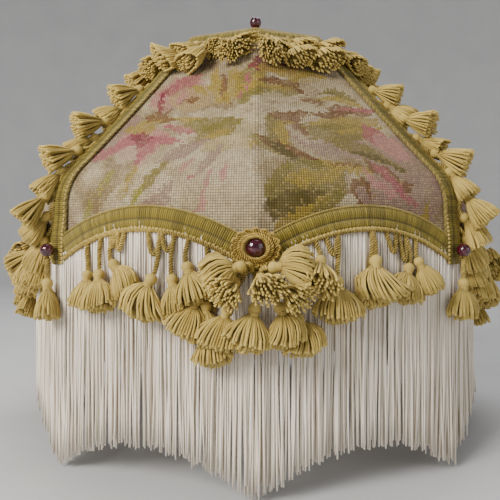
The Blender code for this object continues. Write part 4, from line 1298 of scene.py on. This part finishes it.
def bend_mesh(mesh, place):
    """Moves every point (x along, y across, z out) of a straight mesh to place(x, y, z)."""
    points = np.zeros(len(mesh.vertices) * 3)
    mesh.vertices.foreach_get("co", points)
    points = points.reshape(-1, 3)
    mesh.vertices.foreach_set("co", place(points[:, 0], points[:, 1], points[:, 2]).ravel())
    mesh.update()
    return mesh


def hem_braid_path():
    """Length along a face's hem braid, and there its middle's width and height and its slope."""
    reach = float(bay_width(0)) - GIMP_WIDTH / 2 - GAP
    w = np.linspace(-reach, reach, 801)
    s = np.abs(w) / float(bay_width(0))
    slope = ARCH_HEIGHT * 4 * (1 - 2 * s) / float(bay_width(0)) * np.sign(w)
    z = arch(s) - HEM_TURN + GIMP_WIDTH / 2 * np.sqrt(1 + slope**2)
    kernel = np.ones(41) / 41
    angle = np.convolve(np.pad(np.arctan(slope), 20, mode="edge"), kernel, mode="valid")
    z = np.convolve(np.pad(z, 10, mode="edge"), np.ones(21) / 21, mode="valid")
    run = np.concatenate([[0], np.cumsum(np.hypot(np.diff(w), np.diff(z)))])
    return run, w, z, angle


def seam_head():
    foot = down_slope(CLOTH_TOP, TOP_GIMP_WIDTH)
    return down_slope(foot, 0.0033)


def down_slope(z, length):
    lean = float(rib_radius(z - 1e-4) - rib_radius(z)) / 1e-4
    return z - length / math.hypot(1, lean)


# Tassels

def tassel_mesh(name, seed, bell=1.0, sweep=0.0, flat=0.52, yarns=None, flare=2.1, ragged=1.0, brush=False):
    """A tassel below the origin: a wound knob, a bound neck and a skirt of cut yarns, wide along X."""
    size = sizes()
    rng = np.random.default_rng(seed)
    count = yarns or size.yarns
    parts = Parts("along", "tone", "shade")
    half = size.head_width / 2
    head = 0.0078
    knob = [
        (0.0006, 0.0002), (half * 0.55, -0.0003), (half * 0.88, -0.0016), (half, -0.0034), (half * 0.9, -0.0052),
        (half * 0.66, -0.0066), (half * 0.62, -head - 0.0012),
    ]
    points, faces = turned_parts(knob, 18, flute=0.035)
    parts.add(points, faces, along=0.3, tone=0.62, shade=0.0)
    ring = np.linspace(0, 2 * math.pi * 2.6, 24)
    wound = np.stack([np.cos(ring) * half * 0.74, np.sin(ring) * half * 0.74, -head + 0.0012 - ring * 0.00012], -1)
    points, faces, _, _ = tube_parts(wound[None], 0.00055, 4, [(0, 0, 1)])
    parts.add(points, faces, along=0.3, tone=0.85, shade=0.1)
    core = [
        (half * 0.5, -head),
        (size.tassel_width * 0.26 * bell, -head - size.tassel_length * 0.5),
        (size.tassel_width * 0.30 * bell, -head - size.tassel_length * 0.82),
    ]
    points, faces = turned_parts(core, 10)
    points = [(x + sweep * ((-z - head) / size.tassel_length) ** 2 * 0.008, y * flat, z) for x, y, z in points]
    # The core inside the skirt is painted in full shade.
    parts.add(points, faces, along=0.5, tone=0.0, shade=1.0)
    t = np.linspace(0, 1, 5)
    golden = math.pi * (3 - math.sqrt(5))
    index = np.arange(count)
    shell = np.sqrt((index + 0.6) / count)
    angle = index * golden + rng.normal(0, 0.12, count)
    if not brush:
        outside = index > count * 0.36
        angle = np.where(outside, index * 2 * math.pi / (count * 0.64) + rng.normal(0, 0.03, count), angle)
        shell = np.where(outside, 0.96, shell)
    radius = size.tassel_width / 2 * bell * shell * rng.uniform(0.94, 1.04, count)
    length = size.tassel_length * (1 + rng.normal(0, 0.035 * ragged, count)) * (1 + 0.05 * (1 - shell))
    start = half * 0.62 * np.minimum(1, shell + 0.15)
    open_up = 1 - (1 - t) ** flare
    swirl = rng.normal(0, 0.05 * ragged, count)
    wave = rng.normal(0, 0.0006 * ragged, count)
    a = angle[:, None] + swirl[:, None] * t[None] ** 2
    r = start[:, None] + (radius - start)[:, None] * open_up[None] + wave[:, None] * np.sin(t * 5 + index[:, None])
    x = r * np.cos(a) + sweep * 0.010 * t[None] ** 2
    y = r * np.sin(a) * flat
    rounding = 0.0 if brush else 0.24
    z = -head + 0.0004 - length[:, None] * t[None] ** 1.08 * (1 - rounding * (x / (size.tassel_width / 2 * bell)) ** 2)
    path = np.stack([x, y, z], -1)
    reference = np.stack([-np.sin(angle), np.cos(angle), np.full(count, 0.15)], -1)
    points, faces, along, of_yarn = tube_parts(path, np.linspace(0.46, 0.58, 5)[None] * size.yarn_thickness, 4, reference)
    tone = rng.uniform(0.1, 1.0, count)
    # Painted shade: inner yarns darker, and every yarn darker near the knob.
    depth = np.clip((0.86 - shell) * 0.9, 0, 0.45)[of_yarn] * (1 - along * 0.7) + np.clip(0.14 - along, 0, 1) * 2.0
    parts.add(points, faces, along=along, tone=tone[of_yarn], shade=depth)
    return parts.mesh(name)


def tassel_kinds():
    """The shapes that tassels are picked from, in a collection of their own."""
    kept = bpy.data.collections.get("tassel_kinds")
    if kept:
        return kept
    kept = bpy.data.collections.new("tassel_kinds")
    kinds = (
        dict(seed=11),
        dict(seed=12, bell=0.92, flat=0.56, flare=1.8),
        dict(seed=13, sweep=0.7, bell=0.95),
        dict(seed=14, sweep=-0.8, bell=1.04, ragged=1.3),
        dict(seed=15, bell=0.74, flat=0.7, flare=1.9),
        dict(seed=16, bell=0.86, flat=0.78, yarns=80, flare=1.3, ragged=1.2, brush=True),
    )
    for i, kind in enumerate(kinds):
        obj = bpy.data.objects.new(f"tassel_kind_{i}", tassel_mesh(f"tassel_kind_{i}", **kind))
        kept.objects.link(obj)
    return kept


class Hanging:
    """Tassels and their cords that hang in one piece."""

    def __init__(self):
        self.heads, self.ups, self.acrosses, self.sizes, self.kinds, self.cords = [], [], [], [], [], []

    def tassel(self, head, foot, outward, kind, size=1.0, roll=0.0):
        down = (foot - head).normalized()
        across = down.cross(outward)
        if across.length < 0.15:
            across = down.cross(Vector((0, 0, 1)))
        across = Matrix.Rotation(roll, 3, down) @ across.normalized()
        self.heads.append(head)
        self.ups.append(-down)
        self.acrosses.append(across)
        self.sizes.append((size, size, size))
        self.kinds.append((kind, 0, 0))

    def cord(self, start, end, leave, arrive, steps=9):
        """A cord from start to end that leaves and arrives in the given directions."""
        reach = (end - start).length * 0.45
        a, b = start + leave.normalized() * reach, end - arrive.normalized() * reach
        line = []
        for i in range(steps):
            t = i / (steps - 1)
            line.append(start * (1 - t) ** 3 + a * 3 * t * (1 - t) ** 2 + b * 3 * t * t * (1 - t) + end * t**3)
        self.cords.append(line)

    def mesh(self, name, seed):
        guide = bpy.data.meshes.new(name)
        guide.from_pydata([tuple(h) for h in self.heads], [], [])
        for key, values in (("up", self.ups), ("across", self.acrosses), ("size", self.sizes), ("kind", self.kinds)):
            layer = guide.attributes.new(key, "FLOAT_VECTOR", "POINT")
            layer.data.foreach_set("vector", np.asarray([tuple(v) for v in values], np.float32).ravel())
        tree = bpy.data.node_groups.get("hung_tassels") or hung_tassels_tree()
        made = grow(name, guide, tree, Tassel=tassel_kinds(), Seed=seed, Material=finish("tassel_yarn", tassel_finish))
        if self.cords:
            cords = cord_mesh(name, self.cords)
            made = join_meshes(name, [made, cords])
        return made


def cord_mesh(name, lines, closed=False, ply=None, plies=2, pitch=None, sides=6, material=None, spacing=None):
    ply = ply or sizes().ply
    tree = bpy.data.node_groups.get("twisted_cord") or twisted_cord_tree()
    return grow(
        name,
        guide_lines(name, lines, closed=closed),
        tree,
        Ply_radius=ply / 2,
        Ply_offset=ply * 0.54,
        Twist_length=pitch or ply * 2.9,
        Step=spacing or ply * 0.55,
        Plies=plies,
        Sides=sides,
        Material=material or finish("tassel_cord", cord_finish),
    )


def join_meshes(name, meshes):
    """One mesh from several, with all their materials and point values."""
    objects = [new_object(name, mesh) for mesh in meshes]
    with bpy.context.temp_override(
        active_object=objects[0], object=objects[0], selected_objects=objects, selected_editable_objects=objects
    ):
        bpy.ops.object.join()
    made = objects[0].data
    bpy.data.objects.remove(objects[0])
    for mesh in meshes[1:]:
        bpy.data.meshes.remove(mesh)
    return made


def hem_height(w):
    s = abs(w) / float(bay_width(0))
    return float(arch(min(s, 1))) - HEM_TURN


def hang_on_hem(hanging, rib, seed):
    """The tassels of one face, hung on cords from the header cord under its braid."""
    rng = random.Random(seed)

    def at(across, up, out):
        return spot(rib, across / 1000, up / 1000, out / 1000)

    for (hx, hz, ho), (fx, fz, fo), kind, size in HEM_TASSELS:
        shake = [rng.uniform(-1.2, 1.2) * (seed > 0) for _ in range(6)]
        head = at(hx + shake[0], hz + shake[1], ho)
        foot = at(fx + shake[0] + shake[2] * 2, fz + shake[1] + shake[3], fo + shake[4])
        outward = (at(hx, hz, ho + 10) - at(hx, hz, ho)).normalized()
        hanging.tassel(head, foot, outward, kind, size, roll=rng.uniform(-0.25, 0.25))
        bunch = abs(hx) < 36 and hz < 3
        tie = hx * 0.35 if bunch else hx + rng.uniform(-3, 3)
        start = at(tie, hem_height(tie / 1000) * 1000 - 1, 5 if not bunch else 6)
        if (start - head).length > 0.006:
            down = Vector((0, 0, -1))
            hang = (foot - head).normalized()
            hanging.cord(start, head - hang * 0.0002, down + outward * 0.4, hang * 0.7 + down * 0.5)
    # Slack loops of the header cord: from, to and drop
    loops = (
        (-99, -93, 8), (-93, -88, 10), (-70, -59, 12), (-60, -50, 9), (44, 52, 10), (88, 96, 11), (98, 104, 14), (-30, -20, 9),
    )
    for a, b, drop in loops:
        start = at(a, hem_height(a / 1000) * 1000, 4.6)
        end = at(b, hem_height(b / 1000) * 1000, 4.6)
        low = (start + end) / 2 + Vector((0, 0, -drop / 1000 * 1.35)) + (at(a, 0, 10) - at(a, 0, 0)) * 0.35
        sag = low - (start + end) / 2
        hanging.cords.append([start.lerp(end, t) + sag * 4 * t * (1 - t) for t in (i / 12 for i in range(13))])


def hang_on_seam(hanging, rib, side, seed):
    """The tassels beside one seam. side is 1 where its side face follows the rib and -1 where it comes before."""
    rng = random.Random(seed)

    def at(beside, up, out):
        return spot(rib, side * beside / 1000, up / 1000, out / 1000)

    for (hx, hz, ho), (fx, fz, fo), kind, size in SEAM_TASSELS:
        shake = [rng.uniform(-1.5, 1.5) for _ in range(4)]
        head = at(hx + shake[0] * 0.5, hz + shake[1], ho)
        foot = at(fx + shake[2], fz + shake[1] + shake[3], fo)
        outward = (at(hx, hz, ho + 10) - at(hx, hz, ho)).normalized()
        hanging.tassel(head, foot, outward, kind, size, roll=rng.uniform(-0.3, 0.3))
        start = at(8.2, min(hz + 9, 138), 4)
        hanging.cord(start, head, outward * 0.6 + Vector((0, 0, -1)), foot - head)


def hang_on_top(hanging, seed):
    rng = random.Random(seed)
    cord_height = down_slope(down_slope(CLOTH_TOP, TOP_GIMP_WIDTH), 0.0015)
    for bay in range(BAYS):
        for share, (head_drop, head_out), (foot_drop, foot_out), kind, size in TOP_TASSELS:
            shake = [rng.uniform(-2.8, 2.8) for _ in range(5)]

            def at(drop, out, across=0.0):
                z = down_slope(cord_height, max(drop, 0) / 1000)
                return spot(bay, share * float(bay_width(z)) + across / 1000, z, out / 1000)

            head, foot = at(head_drop, head_out, shake[0]), at(foot_drop + shake[1], foot_out + shake[2], shake[0] + shake[3] * 2)
            outward = (at(head_drop, head_out + 10) - at(head_drop, head_out)).normalized()
            hanging.tassel(head, foot, outward, rng.choice((kind, kind, 2, 0)), size * rng.uniform(0.86, 1.08), roll=rng.uniform(-0.6, 0.6))
            hanging.cord(at(0, 4.5, shake[0]), head, outward, foot - head, steps=4)


# Operators: one for each group of like pieces

class WiresOperator(bpy.types.Operator):
    """Gives the wire frame its bound tape and the spider fitter its brass"""

    bl_idname = "lamp_shade.wires"
    bl_label = "Wires and fitter"

    def execute(self, context):
        tape = finish("bound_wire", tape_finish)
        for name in ("top_ring", "hem_ring", *(f"rib_{rib + 1}" for rib in range(BAYS))):
            mesh = frame["nodes"][name].data
            mesh.materials.clear()
            mesh.materials.append(tape)
        fitter = frame["nodes"]["spider_fitter"].data
        fitter.materials.clear()
        fitter.materials.append(finish("brass_wire", brass_finish))
        return {"FINISHED"}


class FringeOperator(bpy.types.Operator):
    """Hangs a curtain of cut strands from a woven header on each face"""

    bl_idname = "lamp_shade.fringe"
    bl_label = "Cut fringe"

    def execute(self, context):
        size = sizes()
        strands = bpy.data.collections.new("strand_kinds")
        for i in range(4):
            strands.objects.link(bpy.data.objects.new(f"strand_{i}", strand_mesh(f"strand_{i}", 40 + i)))
        material = finish("fringe_yarn", fringe_finish)
        tree = bpy.data.node_groups.get("cut_fringe") or cut_fringe_tree()
        for seed, (face, rib) in enumerate(FACES.items()):
            rows = []
            for layer, out in enumerate((TRIM_OUT + 0.0001, TRIM_OUT + 0.0007, TRIM_OUT + 0.0014)):
                line = hem_line(out, 161, 0.004)
                rows.append(
                    grow(
                        f"strands_{layer}",
                        guide_lines("hem_line", [line]),
                        tree,
                        Strand=strands,
                        Spacing=size.strand_spacing * (1 + 0.07 * layer),
                        Length=FRINGE_LENGTH + 0.004,
                        Uneven=size.strand_uneven,
                        Thickness=size.strand_thickness,
                        Seed=17 * seed + layer * 100,
                        Material=material,
                    )
                )
            header = new_mesh("header", *header_parts(TRIM_OUT, 0.001, 0.009))
            header.materials.append(material)
            mesh = join_meshes(f"fringe_strands_{face}", [*rows, header])
            mesh.transform(Matrix.Rotation(rib * BAY_ANGLE, 4, "Z"))
            obj = new_object(f"fringe_strands_{face}", mesh)
            finish_piece(obj, [f"fringe_{face}"])
        for obj in list(strands.objects):
            bpy.data.objects.remove(obj)
        bpy.data.collections.remove(strands)
        return {"FINISHED"}


class BraidsOperator(bpy.types.Operator):
    """Lays the gimp braids along the hem, over the seams and round the top, with their edging cords"""

    bl_idname = "lamp_shade.braids"
    bl_label = "Gimp braids"

    def execute(self, context):
        run, w, z, angle = hem_braid_path()
        width = GIMP_WIDTH

        def on_hem(x, y, out):
            a = np.interp(x, run, angle)
            across = np.interp(x, run, w) - y * np.sin(a)
            return on_shade(0, across, np.interp(x, run, z) + y * np.cos(a), HEM_TRIM_OUT + out)

        for seed, (face, rib) in enumerate(FACES.items()):
            mesh = bend_mesh(straight_braid("hem_braid", run[-1], width, 3 + seed), on_hem)
            mesh.transform(Matrix.Rotation(rib * BAY_ANGLE, 4, "Z"))
            mesh.name = f"hem_braid_{face}"
            finish_piece(new_object(f"hem_braid_{face}", mesh), [f"gimp_hem_{face}"])

        low, high = -HEM_TURN, seam_head()
        seam_run, seam_z = slope_table(low, high)

        def on_seam(x, y, out):
            height = np.interp(x, seam_run, seam_z)
            over = np.clip((height - 0.016) / 0.02, 0, 1)
            base = HEM_TRIM_OUT + 0.0004 + (TRIM_OUT - HEM_TRIM_OUT - 0.0004) * over * over * (3 - 2 * over)
            return on_shade(0, y, height, base + out, soft=0.0022)

        for seed, (seam, rib) in enumerate(SEAMS.items()):
            side = 1 if seam in ("front_right", "back_left") else -1
            straight = straight_braid("seam_braid", seam_run[-1], width, 13 + seed)
            braid = bend_mesh(straight, lambda x, y, out: on_seam(x, y * side, out))
            if side < 0:
                braid.flip_normals()
            heights = np.linspace(low + 0.002, high - 0.001, 60)
            edge = [on_shade(0, -side * (width / 2 + 0.0006), h, TRIM_OUT + 0.0012) for h in heights]
            edging = finish("gimp_cord", edge_cord_finish)
            cord = cord_mesh("edge_cord", [edge], ply=0.0013, pitch=0.0044, sides=5, spacing=0.0007, material=edging)
            mesh = join_meshes("seam", [braid, cord])
            mesh.transform(Matrix.Rotation(rib * BAY_ANGLE, 4, "Z"))
            mesh.name = f"seam_braid_{seam}"
            finish_piece(new_object(f"seam_braid_{seam}", mesh), [f"gimp_seam_{seam}"])

        foot = down_slope(CLOTH_TOP, TOP_GIMP_WIDTH)
        middle = (foot + CLOTH_TOP) / 2
        around = BAYS * float(bay_width(middle))

        def round_top(x, y, out):
            height = middle + y * (CLOTH_TOP - foot) / TOP_GIMP_WIDTH
            return on_shade(0, x / around * BAYS * bay_width(height), height, TRIM_OUT + out, soft=0.002)

        mesh = bend_mesh(straight_braid("top_braid", around, TOP_GIMP_WIDTH, 23), round_top)
        finish_piece(new_object("top_braid", mesh), ["gimp_top"])
        return {"FINISHED"}


class TasselsOperator(bpy.types.Operator):
    """Hangs the tassels of the hem, the seams and the top on their twisted cords"""

    bl_idname = "lamp_shade.tassels"
    bl_label = "Tassel trims"

    def execute(self, context):
        header_out = TRIM_OUT + 0.001 + GAP + 0.0012
        for seed, (face, rib) in enumerate(FACES.items()):
            hanging = Hanging()
            hang_on_hem(hanging, rib, seed * 7)
            reach = float(bay_width(0)) - GIMP_WIDTH / 2 - GAP
            line = [
                spot(rib, w, float(arch(abs(w) / float(bay_width(0)))) - HEM_TURN - 0.0006, header_out)
                for w in np.linspace(-reach, reach, 121)
            ]
            hanging.cords.append(line)
            obj = new_object(f"hem_tassel_trim_{face}", hanging.mesh(f"hem_tassel_trim_{face}", 60 + seed))
            finish_piece(obj, [f"tassels_hem_{face}"])
        for seed, (seam, rib) in enumerate(SEAMS.items()):
            side = 1 if seam in ("front_right", "back_left") else -1
            hanging = Hanging()
            hang_on_seam(hanging, rib, side, 80 + seed)
            hanging.cords.append([spot(rib, side * 0.0085, h, TRIM_OUT + 0.0015) for h in np.linspace(0.022, 0.140, 50)])
            obj = new_object(f"seam_tassel_trim_{seam}", hanging.mesh(f"seam_tassel_trim_{seam}", 90 + seed))
            finish_piece(obj, [f"tassels_seam_{seam}"])
        hanging = Hanging()
        hang_on_top(hanging, 102)
        z = down_slope(down_slope(CLOTH_TOP, TOP_GIMP_WIDTH), 0.0015)
        ring = [spot(bay, s * float(bay_width(z)) / 6, z, TRIM_OUT + 0.0015) for bay in range(BAYS) for s in range(6)]
        hanging.cords.append([*ring, ring[0]])
        obj = new_object("top_tassel_trim", hanging.mesh("top_tassel_trim", 103))
        finish_piece(obj, ["tassels_top"])
        return {"FINISHED"}


class PendantsOperator(bpy.types.Operator):
    """Hangs a long-corded tassel below each seam bead, on the body that swings"""

    bl_idname = "lamp_shade.pendants"
    bl_label = "Corner tassels"

    def execute(self, context):
        for seed, (seam, rib) in enumerate(SEAMS.items()):
            low, high = (Vector(corner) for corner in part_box(f"pendant_tassel_{seam}"))
            middle = (low + high) / 2
            outward = Vector((math.sin(rib * BAY_ANGLE), -math.cos(rib * BAY_ANGLE), 0))
            top = Vector((middle.x, middle.y, high.z - 0.0012))
            head = top - Vector((0, 0, 0.0135))
            hanging = Hanging()
            hanging.tassel(head, head - Vector((0, 0, 0.03)), outward, (0, 1, 3, 0)[seed], 1.03, roll=0.2 * seed)
            for shift in (-1, 1):
                aside = outward.cross(Vector((0, 0, 1))) * 0.0009 * shift
                hanging.cords.append([top + aside * (0.4 + 0.6 * math.sin(math.pi * t / 6)) - Vector((0, 0, 0.0136 * t / 6)) for t in range(7)])
            obj = new_object(f"corner_tassel_{seam}", hanging.mesh(f"corner_tassel_{seam}", 120 + seed))
            finish_piece(obj, [f"pendant_tassel_{seam}"], body=f"pendant_{seam}")
        return {"FINISHED"}


def faceted_bead(radius, sides=10, rows=5):
    """A cut glass bead: flat facets in rings, with a flattened top and foot."""
    profile = [(radius * math.sin(math.pi * (i + 0.5) / (rows + 1)), radius * math.cos(math.pi * (i + 0.5) / (rows + 1))) for i in range(rows + 1)]
    points, faces = [], []
    for j, (r, z) in enumerate(profile):
        for i in range(sides):
            a = (i + 0.5 * (j % 2)) * 2 * math.pi / sides
            points.append((r * math.cos(a), r * math.sin(a), z))
    for j in range(rows):
        for i in range(sides):
            k = (i + 1) % sides
            a, b, c, d = j * sides + i, j * sides + k, (j + 1) * sides + i, (j + 1) * sides + k
            faces += [(a, c, b), (b, c, d)] if j % 2 == 0 else [(a, c, d), (a, d, b)]
    faces += [tuple(range(sides)), tuple(rows * sides + i for i in range(sides))[::-1]]
    return points, faces


class BeadsOperator(bpy.types.Operator):
    """Cuts the garnet glass beads at the seams' feet and round the top"""

    bl_idname = "lamp_shade.beads"
    bl_label = "Garnet beads"

    def execute(self, context):
        glass = finish("garnet_glass", glass_finish)
        for group, places in (("seam", SEAMS), ("top", FACES)):
            for seam, rib in places.items():
                node = f"bead_{group}_{seam}"
                low, high = (Vector(corner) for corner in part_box(node))
                middle = Matrix.Translation((low + high) / 2) @ Matrix.Rotation(rib * BAY_ANGLE + 0.3, 4, "Z")
                if group == "seam":
                    middle = middle @ Matrix.Rotation(math.pi / 2, 4, "Y") @ Matrix.Rotation(0.4, 4, "Z")
                sides, rows = (12, 7) if group == "seam" else (9, 5)
                points, faces = faceted_bead(BEAD_RADIUS, sides, rows)
                mesh = new_mesh(f"cut_bead_{group}_{seam}", points, faces, flat=True)
                mesh.transform(middle)
                obj = new_object(f"cut_bead_{group}_{seam}", mesh, glass)
                edge = obj.modifiers.new("rubbed_edges", "BEVEL")
                edge.width = 0.0004
                edge.segments = 2
                edge.limit_method = "ANGLE"
                edge.angle_limit = math.radians(12)
                finish_piece(obj, [node])
        return {"FINISHED"}


class JewelsOperator(bpy.types.Operator):
    """Coils the gold cord settings and sets a domed garnet in each"""

    bl_idname = "lamp_shade.jewels"
    bl_label = "Jewels"

    def execute(self, context):
        gold, glass = finish("gold_cord", gold_finish), finish("garnet_glass", glass_finish)
        for face, rib in FACES.items():
            low, high = (Vector(corner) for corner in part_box(f"jewel_setting_{face}"))
            outward = Vector((math.sin(rib * BAY_ANGLE), -math.cos(rib * BAY_ANGLE), 0))
            aside = Vector((math.cos(rib * BAY_ANGLE), math.sin(rib * BAY_ANGLE), 0))
            upward = Vector((0, 0, 1))
            depth = abs((high - low).dot(outward))
            back = (low + high) / 2 - outward * depth / 2
            wide, tall = 0.0133, 0.0104

            def at(x, y, out):
                return back + aside * x + upward * y + outward * out

            parts = []
            rings = ((0.97, 0.0018, 0.0014), (0.77, 0.0036, 0.0014), (0.62, 0.0050, 0.0010))
            for share, out, ply in rings:
                ring = []
                for i in range(48):
                    a = i * 2 * math.pi / 48
                    rx = max(wide * share, STONE_RADIUS + 0.0011)
                    ry = max(tall * share, STONE_RADIUS + 0.0009)
                    ring.append(at(rx * math.cos(a), ry * math.sin(a), out))
                ring.append(ring[0])
                parts.append(cord_mesh("setting_ring", [ring], ply=ply * 1.1, plies=2, pitch=0.0046, sides=6, spacing=0.0007, material=gold))
            picots = []
            count = 16
            for i in range(count):
                a = i * 2 * math.pi / count
                half = math.pi / count * 1.05
                loop = []
                for k in range(9):
                    t = k / 8
                    angle = a - half + 2 * half * t
                    lift = 1.0 + 0.15 * math.sin(math.pi * t)
                    loop.append(at(wide * lift * math.cos(angle), tall * lift * math.sin(angle), 0.0012 + 0.0022 * math.sin(math.pi * t)))
                picots.append(loop)
            parts.append(cord_mesh("setting_loops", picots, ply=0.0010, pitch=0.0028, sides=4, spacing=0.0007, material=gold))
            bed = Parts("along", "tone", "shade")
            profile = [
                (0, 0.0024),
                (STONE_RADIUS, 0.0024),
                (STONE_RADIUS + 0.0004, 0.0040),
                (wide * 0.72, 0.0034),
                (wide * 0.95, 0.0012),
                (wide * 0.92, 0.0002),
                (0, 0.0),
            ]
            points, faces = turned_parts([(max(r, 1e-5), z) for r, z in profile], 36)
            squashed = [(x, y * (tall / wide if math.hypot(x, y) > STONE_RADIUS + 0.001 else 1), z) for x, y, z in points]
            frame_of = Matrix((aside, upward, outward)).transposed().to_4x4()
            bed.add(squashed, faces, Matrix.Translation(back) @ frame_of, tone=0.2)
            bed_mesh = bed.mesh("setting_bed")
            bed_mesh.materials.append(gold)
            mesh = join_meshes(f"cord_setting_{face}", [bed_mesh, *parts])
            finish_piece(new_object(f"cord_setting_{face}", mesh), [f"jewel_setting_{face}"])
            low, high = (Vector(corner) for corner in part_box(f"jewel_stone_{face}"))
            seat = (low + high) / 2 - outward * abs((high - low).dot(outward)) / 2
            dome = [(STONE_RADIUS * math.sin(a), STONE_RADIUS * 0.8 * math.cos(a)) for a in np.linspace(0.04, math.pi / 2, 13)]
            dome += [(STONE_RADIUS * 0.985, -0.00015), (STONE_RADIUS * 0.6, -0.0002)]
            points, faces = turned_parts(dome, 40)
            stone = new_mesh(f"domed_stone_{face}", points, faces)
            stone.transform(Matrix.Translation(seat + outward * 0.0002) @ frame_of)
            finish_piece(new_object(f"domed_stone_{face}", stone, glass), [f"jewel_stone_{face}"])
        return {"FINISHED"}


class LiningOperator(bpy.types.Operator):
    """Hangs the sewn lining inside the wires"""

    bl_idname = "lamp_shade.lining"
    bl_label = "Lining"

    def execute(self, context):
        obj = new_object("sewn_lining", lining_mesh("sewn_lining"), finish("lining", lining_finish))
        thicken(obj, 0.0005, 1.0)
        finish_piece(obj, ["lining"])
        return {"FINISHED"}


class TapestryOperator(bpy.types.Operator):
    """Stretches the four tapestry panels over the wires"""

    bl_idname = "lamp_shade.tapestry"
    bl_label = "Tapestry panels"

    def execute(self, context):
        material = finish("tapestry", tapestry_finish)
        for seed, (face, rib) in enumerate(FACES.items()):
            mesh = turned_copy(panel_mesh("panel", 5 + seed, seed % 2), f"tapestry_panel_{face}", rib)
            obj = thicken(new_object(f"tapestry_panel_{face}", mesh, material), 0.0008)
            finish_piece(obj, [f"tapestry_{face}"])
        return {"FINISHED"}


class StageOperator(bpy.types.Operator):
    """Sets the pale floor and backdrop, the soft lights and the camera"""

    bl_idname = "lamp_shade.stage"
    bl_label = "Stage"

    def execute(self, context):
        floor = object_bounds()[0][2] - 0.0015
        profile = [(0.001, 0.0), (0.6, 0.0), (1.7, 0.0)]
        profile += [(1.7 + 0.9 * math.sin(a), 0.9 - 0.9 * math.cos(a)) for a in np.linspace(0.1, math.pi / 2, 14)]
        profile += [(2.6, 1.9)]
        turns = [i * 2 * math.pi / 64 for i in range(64)]
        points = [(r * math.cos(a), r * math.sin(a), floor + z) for r, z in profile for a in turns]
        faces = [face[::-1] for face in grid_faces(64, len(profile) - 1, wrap=True).tolist()] + [list(range(64))]
        sweep = new_object("floor_and_backdrop", new_mesh("floor_and_backdrop", points, faces))
        material, tree, shader = new_finish("pale_paper", 0.9)
        grain = spread(tree, noise(tree, 9.0, 3.0), 0.3, 0.7)
        tree.links.new(blend_colour(tree, grain, (0.52, 0.52, 0.525), (0.56, 0.56, 0.56)), shader.inputs["Base Color"])
        clear = add(tree, "ShaderNodeBsdfTransparent").outputs[0]
        below = add(tree, "ShaderNodeNewGeometry").outputs["Backfacing"]
        seen = add(tree, "ShaderNodeMixShader", {0: below, 1: shader.outputs[0], 2: clear})
        tree.links.new(seen.outputs[0], tree.nodes["Material Output"].inputs["Surface"])
        sweep.data.materials.append(material)
        sweep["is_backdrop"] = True

        def lamp(name, place, target, size, power, colour):
            data = bpy.data.lights.new(name, "AREA")
            data.energy, data.size, data.color = power, size, colour
            obj = bpy.data.objects.new(name, data)
            bpy.context.scene.collection.objects.link(obj)
            obj.location = place
            obj.rotation_euler = (Vector(target) - Vector(place)).to_track_quat("-Z", "Y").to_euler()

        lamp("window_light", (-1.15, -1.25, 0.75), (0, 0, -0.13), 0.8, 52, (1.0, 0.97, 0.92))
        lamp("fill_light", (1.4, -1.0, 0.25), (0, 0, -0.15), 1.4, 7, (0.95, 0.97, 1.0))
        lamp("top_light", (0.1, 0.3, 1.3), (0, 0, 0), 1.2, 16, (1.0, 1.0, 1.0))
        world = bpy.data.worlds.new("soft_room")
        world.use_nodes = True
        world.node_tree.nodes["Background"].inputs["Color"].default_value = (0.86, 0.88, 0.92, 1)
        world.node_tree.nodes["Background"].inputs["Strength"].default_value = 0.30
        bpy.context.scene.world = world
        data = bpy.data.cameras.new("camera")
        data.lens = 42.38
        data.sensor_width = 36
        data.shift_x = -0.011
        camera = bpy.data.objects.new("camera", data)
        bpy.context.scene.collection.objects.link(camera)
        camera.location = (0, -0.5677, -0.157)
        camera.rotation_euler = (math.radians(90 - 1.565), 0, 0)
        bpy.context.scene.camera = camera
        return {"FINISHED"}


def edge_cord_finish(name):
    tint = colours()
    return yarn_finish(name, tint.tassel_light, [c * 0.45 for c in tint.gimp_dark], roughness=0.55, patches=200.0)


class LampShadePanel(bpy.types.Panel):
    """Lists the shade's sizes, colours and pieces"""

    bl_idname = "VIEW3D_PT_lamp_shade"
    bl_label = "Lamp Shade"
    bl_space_type = "VIEW_3D"
    bl_region_type = "UI"
    bl_category = "Lamp Shade"

    def draw(self, context):
        for group in (context.scene.lamp_shade_sizes, context.scene.lamp_shade_colours):
            box = self.layout.box()
            for key in group.bl_rna.properties.keys():
                if key not in ("rna_type", "name"):
                    box.prop(group, key)
        for step in STEPS:
            self.layout.operator(step.bl_idname)


STEPS = (
    WiresOperator,
    FringeOperator,
    BraidsOperator,
    TasselsOperator,
    PendantsOperator,
    BeadsOperator,
    JewelsOperator,
    LiningOperator,
    TapestryOperator,
    StageOperator,
)
CLASSES = (ShadeSizes, ShadeColours, *STEPS, LampShadePanel)


def register():
    for item in CLASSES:
        bpy.utils.register_class(item)
    bpy.types.Scene.lamp_shade_sizes = bpy.props.PointerProperty(type=ShadeSizes)
    bpy.types.Scene.lamp_shade_colours = bpy.props.PointerProperty(type=ShadeColours)


def unregister():
    del bpy.types.Scene.lamp_shade_colours
    del bpy.types.Scene.lamp_shade_sizes
    for item in reversed(CLASSES):
        bpy.utils.unregister_class(item)


def main():
    register()
    for step in STEPS:
        group, name = step.bl_idname.split(".")
        getattr(getattr(bpy.ops, group), name)()
    for obj in list(bpy.data.collections["tassel_kinds"].objects):
        bpy.data.objects.remove(obj)
    bpy.data.collections.remove(bpy.data.collections["tassel_kinds"])


if __name__ == "__main__":
    main()
